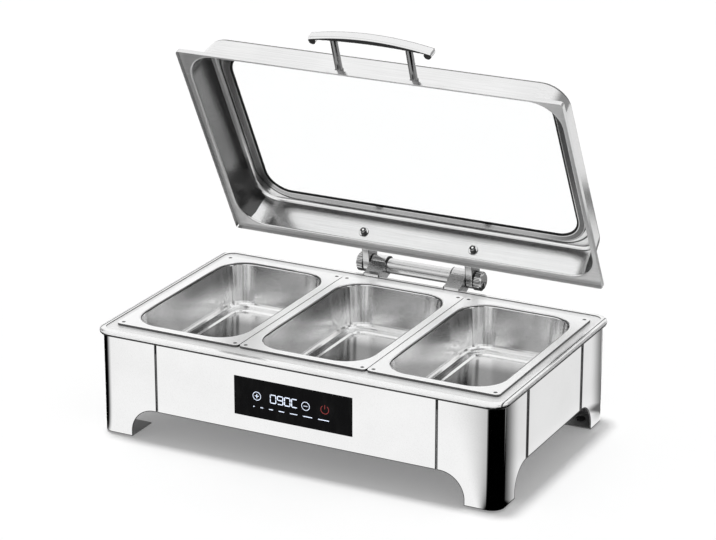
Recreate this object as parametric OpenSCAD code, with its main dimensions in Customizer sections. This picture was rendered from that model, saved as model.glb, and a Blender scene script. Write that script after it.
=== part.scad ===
// Electric chafing dish: a heated base with three food pans and a hinged lid with a window.
// Origin: centre of the base on the table. +X right, +Y to the hinge, +Z up. Millimetres.

/* [Base] */
// Width of the rim beside the outer pans
ledge_side = 17.8; // [16:0.2:26]
// Width of the rim in front of and behind the pans
ledge_front = 26.5; // [24:0.5:34]
// Height of the rim's crest above the table
rim_top = 142; // [130:1:170]
// Height of the rolled rim
rim_h = 8; // [7:0.5:12]
// How far the rim stands out past the panels
rim_over = 5; // [3:0.5:8]
// Drop from the rim's crest to the ledge that carries the pans and the lid
ledge_drop = 1; // [0.6:0.1:2]
// Width of the rim's crest
crest_w = 8; // [6:0.5:9]
// Height of the panels' lower edge above the table
panel_bottom = 42.5; // [34:0.5:60]
// Thickness of the panel and leg sheet
sheet = 1.2; // [0.8:0.1:2]
// Outer radius of the body's upright corners
corner_r = 17; // [10:1:24]
// Width of a corner leg along the front
leg_w = 84; // [70:1:100]
// Width of a corner leg along the side
leg_d = 82; // [70:1:95]
// Width of a foot where it meets the table
foot_w = 46; // [36:1:50]
// Radius of the arch between foot and panel
arch_r = 33; // [16:1:34]
// Gap of the seam between a leg and a panel
seam_gap = 1.8; // [0.5:0.1:2.4]
// Height of the rubber feet under the legs
rubber_h = 3; // [2:0.5:6]
// Diameter of a rubber foot
rubber_d = 26; // [18:1:30]

/* [Pans] */
// Width of one food pan over its flange
pan_w = 176; // [160:1:180]
// Depth of one food pan over its flange
pan_d = 287; // [260:1:290]
// Gap between neighbouring pans
pan_gap = 1.2; // [0.6:0.1:3]
// Width of a food pan's flange
pan_flange = 13; // [10:0.5:18]
// Inner height of a food pan
pan_depth = 62; // [45:1:65]
// Corner radius of a food pan's mouth
pan_r = 38; // [32:1:50]
// Inset of a food pan's wall from mouth to floor
pan_taper = 7; // [3:0.5:10]
// Radius between a food pan's wall and floor
pan_floor_r = 9; // [5:0.5:14]
// Height of the raised step round a food pan's floor
pan_step = 2.5; // [1.5:0.5:4]
// Sheet thickness of the pans
pan_t = 0.8; // [0.6:0.1:1.2]
// Length of the turned-down edge of a pan's flange
pan_edge = 3; // [2:0.5:4]
// Corner radius of the water pan
water_r = 26; // [18:1:32]

/* [Lid] */
// Distance from the outer pans to the outside of the lid's lip
lid_side = 2.8; // [2.2:0.1:5]
// Gap between the lid's lip and the rim's crest, front and back
lid_clear = 1.5; // [1:0.1:4]
// Height of the lid from lip to top
lid_h = 52; // [46:1:64]
// Height of the turned-down lip
lip_h = 6; // [5:0.5:7]
// Width of the lid's flange
lid_flange = 9; // [7:0.5:12]
// Corner radius of the lid's mouth
lid_r = 40; // [34:1:50]
// Draft angle of the lid's walls
lid_draft = 8; // [4:1:12]
// Sheet thickness of the lid
lid_t = 0.9; // [0.7:0.1:1.2]
// Radius between the lid's wall and its top
lid_top_r = 7; // [4:0.5:10]
// Distance from the lid's lip to the window at the sides
window_side = 41; // [40:1:60]
// Distance from the lid's lip to the window, front and back
window_front = 38; // [37:1:55]
// Corner radius of the window opening
window_r = 33; // [24:1:40]
// Width of the seat that carries the glass round the window
glass_seat = 10; // [7:0.5:11]
// Thickness of the window glass
glass_t = 4; // [3:0.5:5]
// Thickness of the gasket under the glass
gasket_t = 1; // [0.6:0.1:1.5]
// Angle by which the lid stands open at rest
lid_open = 62; // [0:1:88]

/* [Hinge] */
// Distance of the hinge axis behind the rim
hinge_back = 24; // [22:0.5:30]
// Height of the hinge axis above the rim's crest
hinge_rise = 7; // [6:0.5:10]
// Diameter of the hinge barrel
barrel_d = 20.8; // [18:0.2:22]
// Diameter of the hinge shaft
shaft_d = 10; // [8:0.5:11]
// Radial running clearance of the shaft
run_gap = 0.05; // [0.02:0.01:0.1]
// Half length of the barrel, to the outer face of a clamp ring
barrel_half = 70; // [60:1:76]
// Width of a clamp ring
ring_w = 23; // [16:1:28]
// Wall of a clamp ring
ring_wall = 2.4; // [2:0.1:4]
// Width of a lid arm's eye
eye_w = 10; // [8:0.5:14]
// Diameter of a hinge end cap
cap_d = 26; // [22:0.5:28]
// Width of a hinge end cap
cap_w = 11; // [8:0.5:14]
// Distance of a lid arm's bolt from the inner face of its eye
arm_bolt_out = 9.5; // [8:0.5:12]

/* [Handle] */
// Distance of the handle's middle to the right of the lid's middle
handle_x = 11; // [-20:1:20]
// Distance between the two handle posts
post_span = 104; // [80:1:130]
// Diameter of a handle post
post_d = 9.5; // [6:0.5:12]
// Length of a handle post from the lid's wall to the bar
post_len = 49; // [35:1:60]
// Height of the posts on the lid's front wall
post_v = 16; // [16:0.5:30]
// Length of the handle bar
bar_len = 169; // [140:1:200]
// Width of the handle bar
bar_w = 14; // [12:1:24]
// Thickness of the handle bar
bar_t = 8; // [7:0.5:14]
// Rise of the handle bar's arch
bar_rise = 9; // [7:0.5:10]
// Rise of the arch under the handle bar
bar_under = 4; // [3:0.5:5]
// Diameter of the handle bar's curled tips
tip_d = 10; // [8:0.5:13]

/* [Control] */
// Width of the control glass
control_w = 164; // [120:1:200]
// Height of the control glass
control_h = 51; // [36:1:58]
// Thickness of the control glass
control_t = 3; // [2:0.5:4]
// Height of the control glass's middle above the panel's lower edge
control_rise = 46; // [34:1:52]
// Width of the display behind the glass
display_w = 52; // [40:1:60]
// Height of the display behind the glass
display_h = 20; // [14:1:26]

/* [Heater] */
// Diameter of the tubular heating element
heater_d = 8; // [6:0.5:9]
// Number of runs of the heating element
heater_runs = 4; // [2:2:6]
// Distance between two runs of the heating element
heater_pitch = 56; // [40:1:64]
// Distance from the heating element's bends to the water pan's end walls
heater_margin = 48; // [30:1:90]
// Thickness of the heat spreader under the water pan
spreader_t = 3; // [2:0.5:5]
// Air gap between the heater's clamp bars and the bottom plate
heater_clear = 3; // [2:0.5:6]

/* [Hidden] */
$fn = 64;

// Small fits
seat_gap = 0.2;       // between sheets that lie against each other
lid_rest_gap = 0.3;   // under the closed lid's lip
side_gap = 0.5;       // between a clamp ring and a lid arm's eye
fit_gap = 0.02;       // round a screw in its thread
overlap = 0.5;        // by which joined sheets of one piece run into each other
bend_steps = 5;       // straight pieces of a bend

// Plan of the base
pan_count = 3;
pans_w = pan_count * pan_w + (pan_count - 1) * pan_gap;
rim_w = pans_w + 2 * ledge_side;
rim_d = pan_d + 2 * ledge_front;
body_w = rim_w - 2 * rim_over;
body_d = rim_d - 2 * rim_over;
rim_r = corner_r + rim_over;
rim_round = min(3.5, rim_h / 2 - 0.3);
pan_bearing = 7;      // of a pan's flange on the ledge
mouth_w = pans_w - 2 * pan_bearing;
mouth_d = pan_d - 2 * pan_bearing;
mouth_lip = 4;
skirt_h = 12;
panel_return = 12;
tab_w = 8;
gusset_t = 1.5;

// Heights of the base
panel_top = rim_top - rim_h;
ledge_z = rim_top - ledge_drop;
plate_z = panel_bottom + sheet;
clamp_t = 2;
clamp_z = plate_z + sheet + heater_clear;
heater_z = clamp_z + clamp_t + heater_d / 2;
spreader_z = heater_z + heater_d / 2;
water_z = spreader_z + spreader_t;
water_top = ledge_z - sheet;
water_w = mouth_w + 2 * (sheet + 2 * seat_gap);
water_d = mouth_d + 2 * (sheet + 2 * seat_gap);
water_floor_r = 10;
water_flange = 8;
pan_top = ledge_z + pan_edge;

// Heater and control
heater_half = water_w / 2 - heater_margin - heater_pitch / 2;
heater_first_y = -(heater_runs - 1) / 2 * heater_pitch;
terminal_len = 34;
clamp_x = 100;
clamp_w = 18;
control_z = panel_bottom + control_rise;
glass_proud = 0.4;
control_back = -body_d / 2 - glass_proud + control_t;
housing_depth = 20;
housing_edge = 6;
tray_in = 3;           // of the tray's wall from the glass's edge
housing_t = 2;
board_gap = 8;         // between the glass and the board
board_y = control_back + board_gap;
board_t = 1.6;

// Inlet
inlet_in = 44;         // of the inlet's middle from the back panel's end
inlet_x = body_w / 2 - leg_w - inlet_in;
inlet_rise = 46;
inlet_z = panel_bottom + inlet_rise;
inlet_w = 28;
inlet_h = 20;
inlet_pitch = 40;
socket_w = 24;
socket_h = 16.5;
socket_depth = 16;
inlet_depth = 20;
inlet_flange_t = 2;
inlet_screw_d = 3;

// Lid in its own frame: z = 0 at the lip's lower edge, lid closed
lid_w = pans_w + 2 * lid_side;
lid_d = rim_d - 2 * (crest_w + lid_clear);
lid_z = ledge_z + lid_rest_gap;
lid_mouth_w = lid_w - 2 * lid_flange;
lid_mouth_d = lid_d - 2 * lid_flange;
lid_edge_r = 4;
lid_inset = (lid_h - lip_h) * tan(lid_draft);
window_w = lid_w - 2 * window_side;
window_d = lid_d - 2 * window_front;
seat_z = lid_h - glass_t - gasket_t;
gasket_lip = 1.2;
gasket_edge = 1;

// Hinge
hinge_y = rim_d / 2 + hinge_back;
hinge_z = rim_top + hinge_rise;
bush_wall = 2;
bush_len = 14;
eye_x = barrel_half + side_gap;
cap_x = eye_x + eye_w + seat_gap;
arm_bolt_x = eye_x + arm_bolt_out;
shaft_half = cap_x + cap_w - 2;
shaft_flat = 0.35 * shaft_d;
eye_d = barrel_d + 3.2;
arm_pad_w = 19;
arm_pad_h = 24;
arm_pad_t = 5;
arm_bolt_v = 20;
bolt_d = 5;
bolt_grip = 6;
bracket_foot = 7;
bracket_plate = 3;
bracket_x = barrel_half - ring_w / 2;
bracket_drop = 26;
bracket_screw_d = 4;
bracket_back = rim_d / 2 + side_gap + bracket_plate;
bracket_screw_len = bracket_back - body_d / 2 + 6;

// Straight and bent outlines of drawn sheet
function unit(v) = v / norm(v);
function turn_between(a, b) = let (d = b - a) d > 180 ? d - 360 : d < -180 ? d + 360 : d;
function bend(a, b, c, r) =
  let (u = unit(a - b), w = unit(c - b), half = acos(u * w) / 2,
       centre = b + unit(u + w) * r / sin(half),
       p = b + u * r / tan(half) - centre, q = b + w * r / tan(half) - centre,
       from = atan2(p.y, p.x), by = turn_between(from, atan2(q.y, q.x)))
  [for (i = [0 : bend_steps]) let (at = from + by * i / bend_steps) centre + r * [cos(at), sin(at)]];
function flat(p) = [p[0], p[1]];
function bent(path) =
  [for (i = [0 : len(path) - 1])
    each path[i][2] == 0 ? [flat(path[i])]
      : bend(flat(path[i - 1]), flat(path[i]), flat(path[i + 1]), path[i][2])];
function side(a, b) = let (d = unit(b - a)) [d.y, -d.x];
function beside(p, t) =
  [for (i = [0 : len(p) - 1])
    let (before = side(p[max(i - 1, 0)], p[max(i, 1)]),
         after = side(p[min(i, len(p) - 2)], p[min(i + 1, len(p) - 1)]),
         m = unit(before + after))
    p[i] + m * t / (m * before)];
function reversed(p) = [for (i = [len(p) - 1 : -1 : 0]) p[i]];

// Section of a sheet: a path of [x, z, bend radius] and the thickness laid to its right
module sheet_section(path, t) {
  face = bent(path);
  polygon(concat(face, reversed(beside(face, t))));
}

// Carries a section round a rectangle with round corners about (cx, cy)
module around(cx, cy) {
  for (k = [0 : 3]) {
    corner = [[cx, cy], [-cx, cy], [-cx, -cy], [cx, -cy]][k];
    translate(corner) rotate(90 * k) rotate_extrude(angle = 90) children();
  }
  for (k = [0, 1]) rotate(180 * k) {
    translate([cx, 0, 0]) rotate([90, 0, 0]) linear_extrude(2 * cy, center = true) children();
    translate([0, cy, 0]) rotate([90, 0, 90]) linear_extrude(2 * cx, center = true) children();
  }
}

// Rectangle with round corners
module round_rect(w, d, r) {
  square([w - 2 * r, d], center = true);
  square([w, d - 2 * r], center = true);
  for (x = [-1, 1], y = [-1, 1]) translate([x * (w / 2 - r), y * (d / 2 - r)]) circle(r);
}

// Flat frame: a round-cornered plate with a round-cornered opening
module frame_plate(w, d, r, hole_w, hole_d, hole_r, t) {
  linear_extrude(t) difference() {
    round_rect(w, d, r);
    round_rect(hole_w, hole_d, hole_r);
  }
}

// Upright wall of thickness t inside a round-cornered outline
module frame_wall(w, d, r, t, h) {
  frame_plate(w, d, r, w - 2 * t, d - 2 * t, r - t, h);
}

// Eight-sided tube along hand-placed points, for wires
module wire(points, d) {
  sides = 8;
  n = len(points);
  function along(i) = unit(points[min(i + 1, n - 1)] - points[max(i - 1, 0)]);
  function carried(i, u) =
    i == n ? [] : let (t = along(i), v = unit(u - t * (u * t))) concat([v], carried(i + 1, v));
  across = carried(0, [0.37, 0.61, 0.7]);
  ring = [for (i = [0 : n - 1], k = [0 : sides - 1])
    let (u = across[i], w = cross(along(i), u), a = 360 * k / sides)
    points[i] + d / 2 * (u * cos(a) + w * sin(a))];
  quads = [for (i = [0 : n - 2], k = [0 : sides - 1])
    let (a = i * sides + k, b = i * sides + (k + 1) % sides) [a, b, b + sides, a + sides]];
  triangles = [for (q = quads) each [[q[0], q[2], q[1]], [q[0], q[3], q[2]]]];
  ends = [[for (k = [0 : sides - 1]) k], [for (k = [sides - 1 : -1 : 0]) (n - 1) * sides + k]];
  polyhedron(ring, concat(triangles, ends));
}

// Countersunk or pan-headed screw pointing down -Z, head on the plane z = 0
module screw(d, len, head_d, head_h) {
  cylinder(d = head_d, h = head_h);
  translate([0, 0, -len]) cylinder(d = d, h = len);
}

// Panel standing on the X axis with its outer face on y = 0, behind it at +y
module panel(w, screws) {
  tab_clear = 2;
  tab_z = plate_z + sheet + seat_gap;
  tab_h = panel_top - skirt_h - tab_clear - tab_z;
  translate([-w / 2, 0, panel_bottom]) cube([w, sheet, panel_top - panel_bottom]);
  difference() {
    translate([-w / 2, 0, panel_bottom]) cube([w, panel_return, sheet]);
    plate_screw_holes(w, screws);
  }
  for (x = [-1, 1])
    translate([x * w / 2 - tab_w, sheet, tab_z]) cube([2 * tab_w, sheet, tab_h]);
}

plate_screw_d = 3.4;
plate_screw_in = 7;
front_screws = 2;
side_screws = 1;
module plate_screw_holes(w, count) {
  for (x = plate_screw_x(w, count))
    translate([x, plate_screw_in, panel_bottom - sheet])
      cylinder(d = plate_screw_d + 2 * seat_gap, h = 4 * sheet);
}
function plate_screw_x(w, count) = [for (i = [1 : count]) w * (2 * i - count - 1) / 3];

panel_front_w = body_w - 2 * leg_w;
panel_side_w = body_d - 2 * leg_d;
module at_front() { translate([0, -body_d / 2, 0]) children(); }
module at_back() { rotate(180) translate([0, -body_d / 2, 0]) children(); }
module at_left() { rotate(-90) translate([0, -body_w / 2, 0]) children(); }
module at_right() { rotate(90) translate([0, -body_w / 2, 0]) children(); }

module front_panel() {
  color("gainsboro") difference() {
    at_front() panel(panel_front_w, front_screws);
    translate([0, -body_d / 2, control_z])
      cube([control_w + 2 * seat_gap, 4 * sheet, control_h + 2 * seat_gap], center = true);
  }
}

module back_panel() {
  color("gainsboro") difference() {
    at_back() panel(panel_front_w, front_screws);
    translate([inlet_x, body_d / 2, inlet_z]) {
      cube([inlet_w + 2 * seat_gap, 4 * sheet, inlet_h + 2 * seat_gap], center = true);
      for (x = [-1, 1])
        translate([x * inlet_pitch / 2, 0, 0]) rotate([90, 0, 0])
          cylinder(d = inlet_screw_d + 2 * seat_gap, h = 4 * sheet, center = true);
    }
    bracket_screw_places() translate([0, 0, -bracket_screw_len])
      cylinder(d = bracket_screw_d + 2 * fit_gap, h = bracket_screw_len);
  }
}

module left_panel() {
  color("gainsboro") at_left() panel(panel_side_w, side_screws);
}

module right_panel() {
  color("gainsboro") at_right() panel(panel_side_w, side_screws);
}

// Plan of a leg with its outer corner at the origin, grown inwards by t
module leg_plan(t) {
  difference() {
    translate([t, t]) square([leg_w, leg_d]);
    translate([t, t]) square(corner_r - t);
  }
  translate([corner_r, corner_r]) circle(corner_r - t);
}

// Arch cut beside a foot, seen square on, with the leg's corner at x = 0
module arch(reach) {
  translate([foot_w, -overlap]) square([reach, panel_bottom - arch_r + overlap]);
  translate([foot_w + arch_r, -overlap]) square([reach, panel_bottom + overlap]);
  translate([foot_w + arch_r, panel_bottom - arch_r]) circle(arch_r);
}

rubber_stem_d = 8;
foot_mid = foot_w / 2;
module leg() {
  difference() {
    translate([0, 0, rubber_h]) linear_extrude(panel_top - rubber_h) intersection() {
      difference() {
        leg_plan(0);
        leg_plan(sheet);
      }
      square([leg_w - seam_gap, leg_d - seam_gap]);
    }
    rotate([90, 0, 0]) translate([0, 0, -2 * sheet]) linear_extrude(4 * sheet) arch(leg_w);
    rotate([90, 0, 90]) translate([0, 0, -2 * sheet]) linear_extrude(4 * sheet) arch(leg_d);
  }
  translate([0, 0, rubber_h]) linear_extrude(gusset_t) difference() {
    intersection() {
      leg_plan(sheet / 2);
      square(foot_w);
    }
    translate([foot_mid, foot_mid]) circle(d = rubber_stem_d + 2 * seat_gap);
  }
}

module at_corner(x, y) {
  mirror([x > 0 ? 1 : 0, 0, 0]) mirror([0, y > 0 ? 1 : 0, 0])
    translate([-body_w / 2, -body_d / 2, 0]) children();
}

module leg_front_left() { color("silver") at_corner(-1, -1) leg(); }
module leg_front_right() { color("silver") at_corner(1, -1) leg(); }
module leg_back_left() { color("silver") at_corner(-1, 1) leg(); }
module leg_back_right() { color("silver") at_corner(1, 1) leg(); }

// Rubber feet: a pad under each gusset, with a stem and a locking head through it
module rubber_feet() {
  color("#202020") for (x = [-1, 1], y = [-1, 1])
    at_corner(x, y) translate([foot_mid, foot_mid, 0]) {
      cylinder(d = rubber_d, h = rubber_h);
      cylinder(d = rubber_stem_d, h = rubber_h + gusset_t + 2);
      translate([0, 0, rubber_h + gusset_t]) cylinder(d = rubber_stem_d + 4, h = 2);
    }
}

// Top frame: rolled rim, crest, ledge with a mouth, and a skirt inside the panels
module top_frame() {
  cx = rim_w / 2 - rim_r;
  cy = rim_d / 2 - rim_r;
  crest_x = rim_r - crest_w;
  skirt_x = corner_r - sheet - seat_gap;
  rim_path = [
    [crest_x, rim_top, 0],
    [rim_r, rim_top, rim_round],
    [rim_r, panel_top, rim_round],
    [skirt_x, panel_top, 0],
    [skirt_x, panel_top - skirt_h, 0]
  ];
  color("whitesmoke") {
    around(cx, cy) sheet_section(rim_path, sheet);
    translate([0, 0, ledge_z - sheet])
      frame_plate(rim_w - 2 * crest_w + 2 * sheet, rim_d - 2 * crest_w + 2 * sheet, crest_x + sheet,
                  mouth_w, mouth_d, water_r, sheet);
    translate([0, 0, ledge_z - sheet])
      frame_wall(rim_w - 2 * crest_w + 2 * sheet, rim_d - 2 * crest_w + 2 * sheet, crest_x + sheet,
                 sheet, sheet + ledge_drop);
    translate([0, 0, ledge_z - mouth_lip])
      frame_wall(mouth_w + 2 * sheet, mouth_d + 2 * sheet, water_r + sheet, sheet, mouth_lip);
  }
}

// Water pan: deep drawn tray hung under the ledge
module water_pan() {
  r = water_r + sheet + 2 * seat_gap;
  cx = water_w / 2 - r;
  cy = water_d / 2 - r;
  path = [
    [0, water_z + pan_t, 0],
    [r, water_z + pan_t, water_floor_r],
    [r, water_top, 2],
    [r + water_flange, water_top, 0]
  ];
  color("lightgrey") {
    around(cx, cy) sheet_section(path, pan_t);
    translate([-cx, -cy, water_z]) cube([2 * cx, 2 * cy, pan_t]);
  }
}

// Food pan: tapered drawn tray with a stepped floor, flange and turned-down edge
module food_pan(place) {
  open_w = pan_w - 2 * pan_flange;
  open_d = pan_d - 2 * pan_flange;
  cx = open_w / 2 - pan_r;
  cy = open_d / 2 - pan_r;
  floor_z = pan_top - pan_depth;
  floor_x = pan_r - pan_taper;
  step_x = floor_x - pan_floor_r - 5;
  mouth_r = 3;
  edge_r = 6;
  dimple_d = 5;
  dimple_depth = 0.45;
  dimple_in = 7;
  dimple_r = (dimple_d * dimple_d / 4 + dimple_depth * dimple_depth) / (2 * dimple_depth);
  path = [
    [0, floor_z, 0],
    [step_x, floor_z, 1.5],
    [step_x + pan_step, floor_z + pan_step, 1.5],
    [floor_x, floor_z + pan_step, pan_floor_r],
    [pan_r, pan_top, mouth_r],
    [pan_r + mouth_r + overlap, pan_top, 0]
  ];
  translate([place * (pan_w + pan_gap), 0, 0]) {
    around(cx, cy) sheet_section(path, pan_t);
    translate([-cx, -cy, floor_z - pan_t]) cube([2 * cx, 2 * cy, pan_t]);
    difference() {
      translate([0, 0, pan_top - pan_t])
        frame_plate(pan_w, pan_d, edge_r, open_w + 2 * mouth_r, open_d + 2 * mouth_r,
                    pan_r + mouth_r, pan_t);
      for (x = [-1, 1], y = [-1, 1])
        translate([x * (pan_w / 2 - dimple_in), y * (pan_d / 2 - dimple_in),
                   pan_top + dimple_r - dimple_depth])
          sphere(dimple_r);
    }
    translate([0, 0, ledge_z]) frame_wall(pan_w, pan_d, edge_r, pan_t, pan_edge);
  }
}

module food_pan_left() { color("silver") food_pan(-1); }
module food_pan_middle() { color("silver") food_pan(0); }
module food_pan_right() { color("silver") food_pan(1); }

// Every screw place along the four lower returns, on the plane of their lower face
module plate_screw_places() {
  at_front() row(panel_front_w, front_screws) children();
  at_back() row(panel_front_w, front_screws) children();
  at_left() row(panel_side_w, side_screws) children();
  at_right() row(panel_side_w, side_screws) children();
}
module row(w, count) {
  for (x = plate_screw_x(w, count)) translate([x, plate_screw_in, panel_bottom]) children();
}

// Bottom plate with two rows of vent slots
module bottom_plate() {
  inset = sheet + seat_gap;
  slot_l = 40;
  slot_w = 5;
  slots = 9;
  color("darkgrey") difference() {
    translate([0, 0, plate_z]) linear_extrude(sheet) difference() {
      round_rect(body_w - 2 * inset, body_d - 2 * inset, corner_r - inset);
      for (x = [-(slots - 1) / 2 : (slots - 1) / 2], y = [-1, 1])
        translate([x * 3 * slot_w, y * body_d / 4]) round_rect(slot_w, slot_l, slot_w / 2 - 0.01);
    }
    plate_screw_places() cylinder(d = plate_screw_d + 2 * fit_gap, h = 4 * sheet);
  }
}

module bottom_screws() {
  color("grey") plate_screw_places() mirror([0, 0, 1])
    screw(plate_screw_d, 3 * sheet, head_d = 7, head_h = 2);
}

// Aluminium spreader pressed under the water pan's floor
module heat_spreader() {
  edge = 22;
  edge_r = 14;
  color("lightgrey") translate([0, 0, spreader_z])
    linear_extrude(spreader_t) round_rect(water_w - 2 * edge, water_d - 2 * edge, edge_r);
}

// Serpentine tubular element with two terminals on the left
module heating_element() {
  terminal_d = 0.6 * heater_d;
  color("dimgrey") translate([0, 0, heater_z]) {
    for (i = [0 : heater_runs - 1])
      translate([0, heater_first_y + i * heater_pitch, 0]) rotate([0, 90, 0])
        cylinder(d = heater_d, h = 2 * heater_half, center = true);
    for (i = [0 : heater_runs - 2]) {
      right = i % 2 == 0;
      translate([(right ? 1 : -1) * heater_half, heater_first_y + (i + 0.5) * heater_pitch, 0])
        rotate(right ? -90 : 90) rotate_extrude(angle = 180)
          translate([heater_pitch / 2, 0]) circle(d = heater_d);
    }
    for (y = [-1, 1]) translate([-heater_half - terminal_len, y * heater_first_y, 0]) rotate([0, 90, 0])
      cylinder(d = terminal_d, h = terminal_len + 1);
  }
}

// Two clamp bars that press the element against the spreader
module heater_clamps() {
  half = heater_runs / 2 * heater_pitch;
  leg_t = 3;
  color("silver") for (x = [-clamp_x, clamp_x]) translate([x - clamp_w / 2, -half, clamp_z]) {
    cube([clamp_w, 2 * half, clamp_t]);
    for (y = [0, 2 * half - leg_t]) translate([0, y, 0]) cube([clamp_w, leg_t, spreader_z - clamp_z]);
  }
}

// Snap-disc cutout on a small foot under the spreader
cutout_x = 40;
module thermal_cutout() {
  cutout_d = 16;
  foot_l = 28;
  foot_d = 10;
  foot_t = 1;
  tab_l = 4;
  tab_t = 0.8;
  tab_x = 9;
  tab_rise = 2;
  body_h = spreader_z - clamp_z - foot_t - 1;
  color("ivory") translate([cutout_x, 0, spreader_z - foot_t]) {
    translate([-foot_l / 2, -foot_d / 2, 0]) cube([foot_l, foot_d, foot_t]);
    translate([0, 0, -body_h]) cylinder(d = cutout_d, h = body_h);
    for (x = [-1, 1]) translate([x * tab_x - tab_l / 2, -tab_t / 2, -body_h + tab_rise])
      cube([tab_l, tab_t, body_h - tab_rise]);
  }
}

// Bulb of the temperature sensor in a clip under the spreader
probe_x = -40;
probe_d = 5;
probe_len = 24;
probe_drop = probe_d / 2 + 0.5;
module temperature_probe() {
  clip_l = 8;
  clip_t = 1;
  color("silver") translate([probe_x, 0, spreader_z]) {
    translate([0, 0, -probe_drop]) rotate([90, 0, 0])
      cylinder(d = probe_d, h = probe_len, center = true);
    translate([-probe_d, -clip_l / 2, -clip_t]) cube([2 * probe_d, clip_l, clip_t]);
  }
}

// Touch glass, flush in the front panel
module control_glass() {
  color("black") translate([0, control_back, control_z]) rotate([90, 0, 0])
    linear_extrude(control_t) round_rect(control_w, control_h, 1.5);
}

// Tray behind the glass that holds the board on four bosses
boss_d = 6;
boss_in = 7;
module control_housing() {
  w = control_w + 2 * housing_edge;
  h = control_h + 2 * housing_edge;
  rim_t = 2;
  wall = [control_w - 2 * tray_in, control_h - 2 * tray_in];
  color("#303030") translate([0, control_back, control_z]) rotate([-90, 0, 0]) {
    linear_extrude(rim_t) difference() {
      round_rect(w, h, 4);
      square(wall - [2 * housing_t, 2 * housing_t], center = true);
    }
    linear_extrude(housing_depth) difference() {
      square(wall, center = true);
      square(wall - [2 * housing_t, 2 * housing_t], center = true);
    }
    translate([0, 0, housing_depth - housing_t]) linear_extrude(housing_t) square(wall, center = true);
    boss_places() translate([0, 0, board_y + board_t - control_back])
      cylinder(d = boss_d, h = housing_depth - (board_y + board_t - control_back));
  }
}
module boss_places() {
  for (x = [-1, 1], y = [-1, 1])
    translate([x * (control_w / 2 - tray_in - housing_t - boss_in),
               y * (control_h / 2 - tray_in - housing_t - boss_in), 0])
      children();
}

// Board with its relay, transformer and touch springs
module control_board() {
  play = 0.4;
  w = control_w - 2 * (tray_in + housing_t + play);
  h = control_h - 2 * (tray_in + housing_t + play);
  spring_x = 0.3 * control_w;
  spring_d = 9;
  relay_w = 19;
  relay_d = 15;
  relay_h = 6;
  transformer_w = 22;
  transformer_d = 18;
  transformer_h = 7;
  color("darkgreen") translate([0, board_y, control_z]) rotate([-90, 0, 0]) {
    linear_extrude(board_t) square([w, h], center = true);
    translate([w / 4, 0, board_t]) linear_extrude(relay_h)
      square([relay_w, relay_d], center = true);
    translate([-w / 4, 0, board_t]) linear_extrude(transformer_h)
      square([transformer_w, transformer_d], center = true);
    for (x = [-1, 1]) translate([x * spring_x, 0, control_back - board_y])
      cylinder(d = spring_d, h = board_y - control_back);
  }
}

// Numeric display between board and glass
module display_module() {
  color("#101820") translate([0, control_back, control_z]) rotate([-90, 0, 0])
    linear_extrude(board_y - control_back) square([display_w, display_h], center = true);
}

// Mains inlet: flange on the back panel, socket with a closed floor
module power_inlet() {
  flange_over = 5;
  flange_h = inlet_h + 0.8 * flange_over;
  flange_w = inlet_pitch + 2 * flange_over;
  face = body_d / 2 + inlet_flange_t;
  color("#202020") translate([inlet_x, face, inlet_z]) rotate([90, 0, 0]) difference() {
    union() {
      linear_extrude(inlet_flange_t) round_rect(flange_w, flange_h, 4);
      linear_extrude(inlet_flange_t + inlet_depth) square([inlet_w, inlet_h], center = true);
    }
    translate([0, 0, -overlap]) linear_extrude(socket_depth + overlap)
      round_rect(socket_w, socket_h, 3);
    for (x = [-1, 1]) translate([x * inlet_pitch / 2, 0, -overlap])
      cylinder(d = inlet_screw_d + 2 * fit_gap, h = inlet_flange_t + 2 * overlap);
    inlet_pin_places() translate([0, 0, socket_depth - overlap])
      linear_extrude(inlet_depth) square(pin_size + [2 * fit_gap, 2 * fit_gap], center = true);
  }
}
pin_size = [2, 4];
pin_pitch = 7;
pin_low = 2;
pin_high = 4;
pin_start = 2;
module inlet_pin_places() {
  for (pin = [[-pin_pitch, -pin_low], [pin_pitch, -pin_low], [0, pin_high]]) translate(pin) children();
}

// Three blades, from just inside the mouth to the solder ends behind
module inlet_pins() {
  color("goldenrod") translate([inlet_x, body_d / 2 + inlet_flange_t, inlet_z]) rotate([90, 0, 0])
    inlet_pin_places() translate([0, 0, pin_start])
      linear_extrude(inlet_depth + inlet_flange_t) square(pin_size, center = true);
}

module inlet_screws() {
  color("grey") translate([inlet_x, body_d / 2 + inlet_flange_t, inlet_z])
    for (x = [-1, 1]) translate([x * inlet_pitch / 2, 0, 0]) rotate([-90, 0, 0])
      screw(inlet_screw_d, 8, head_d = 5.6, head_h = 1.8);
}

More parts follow.
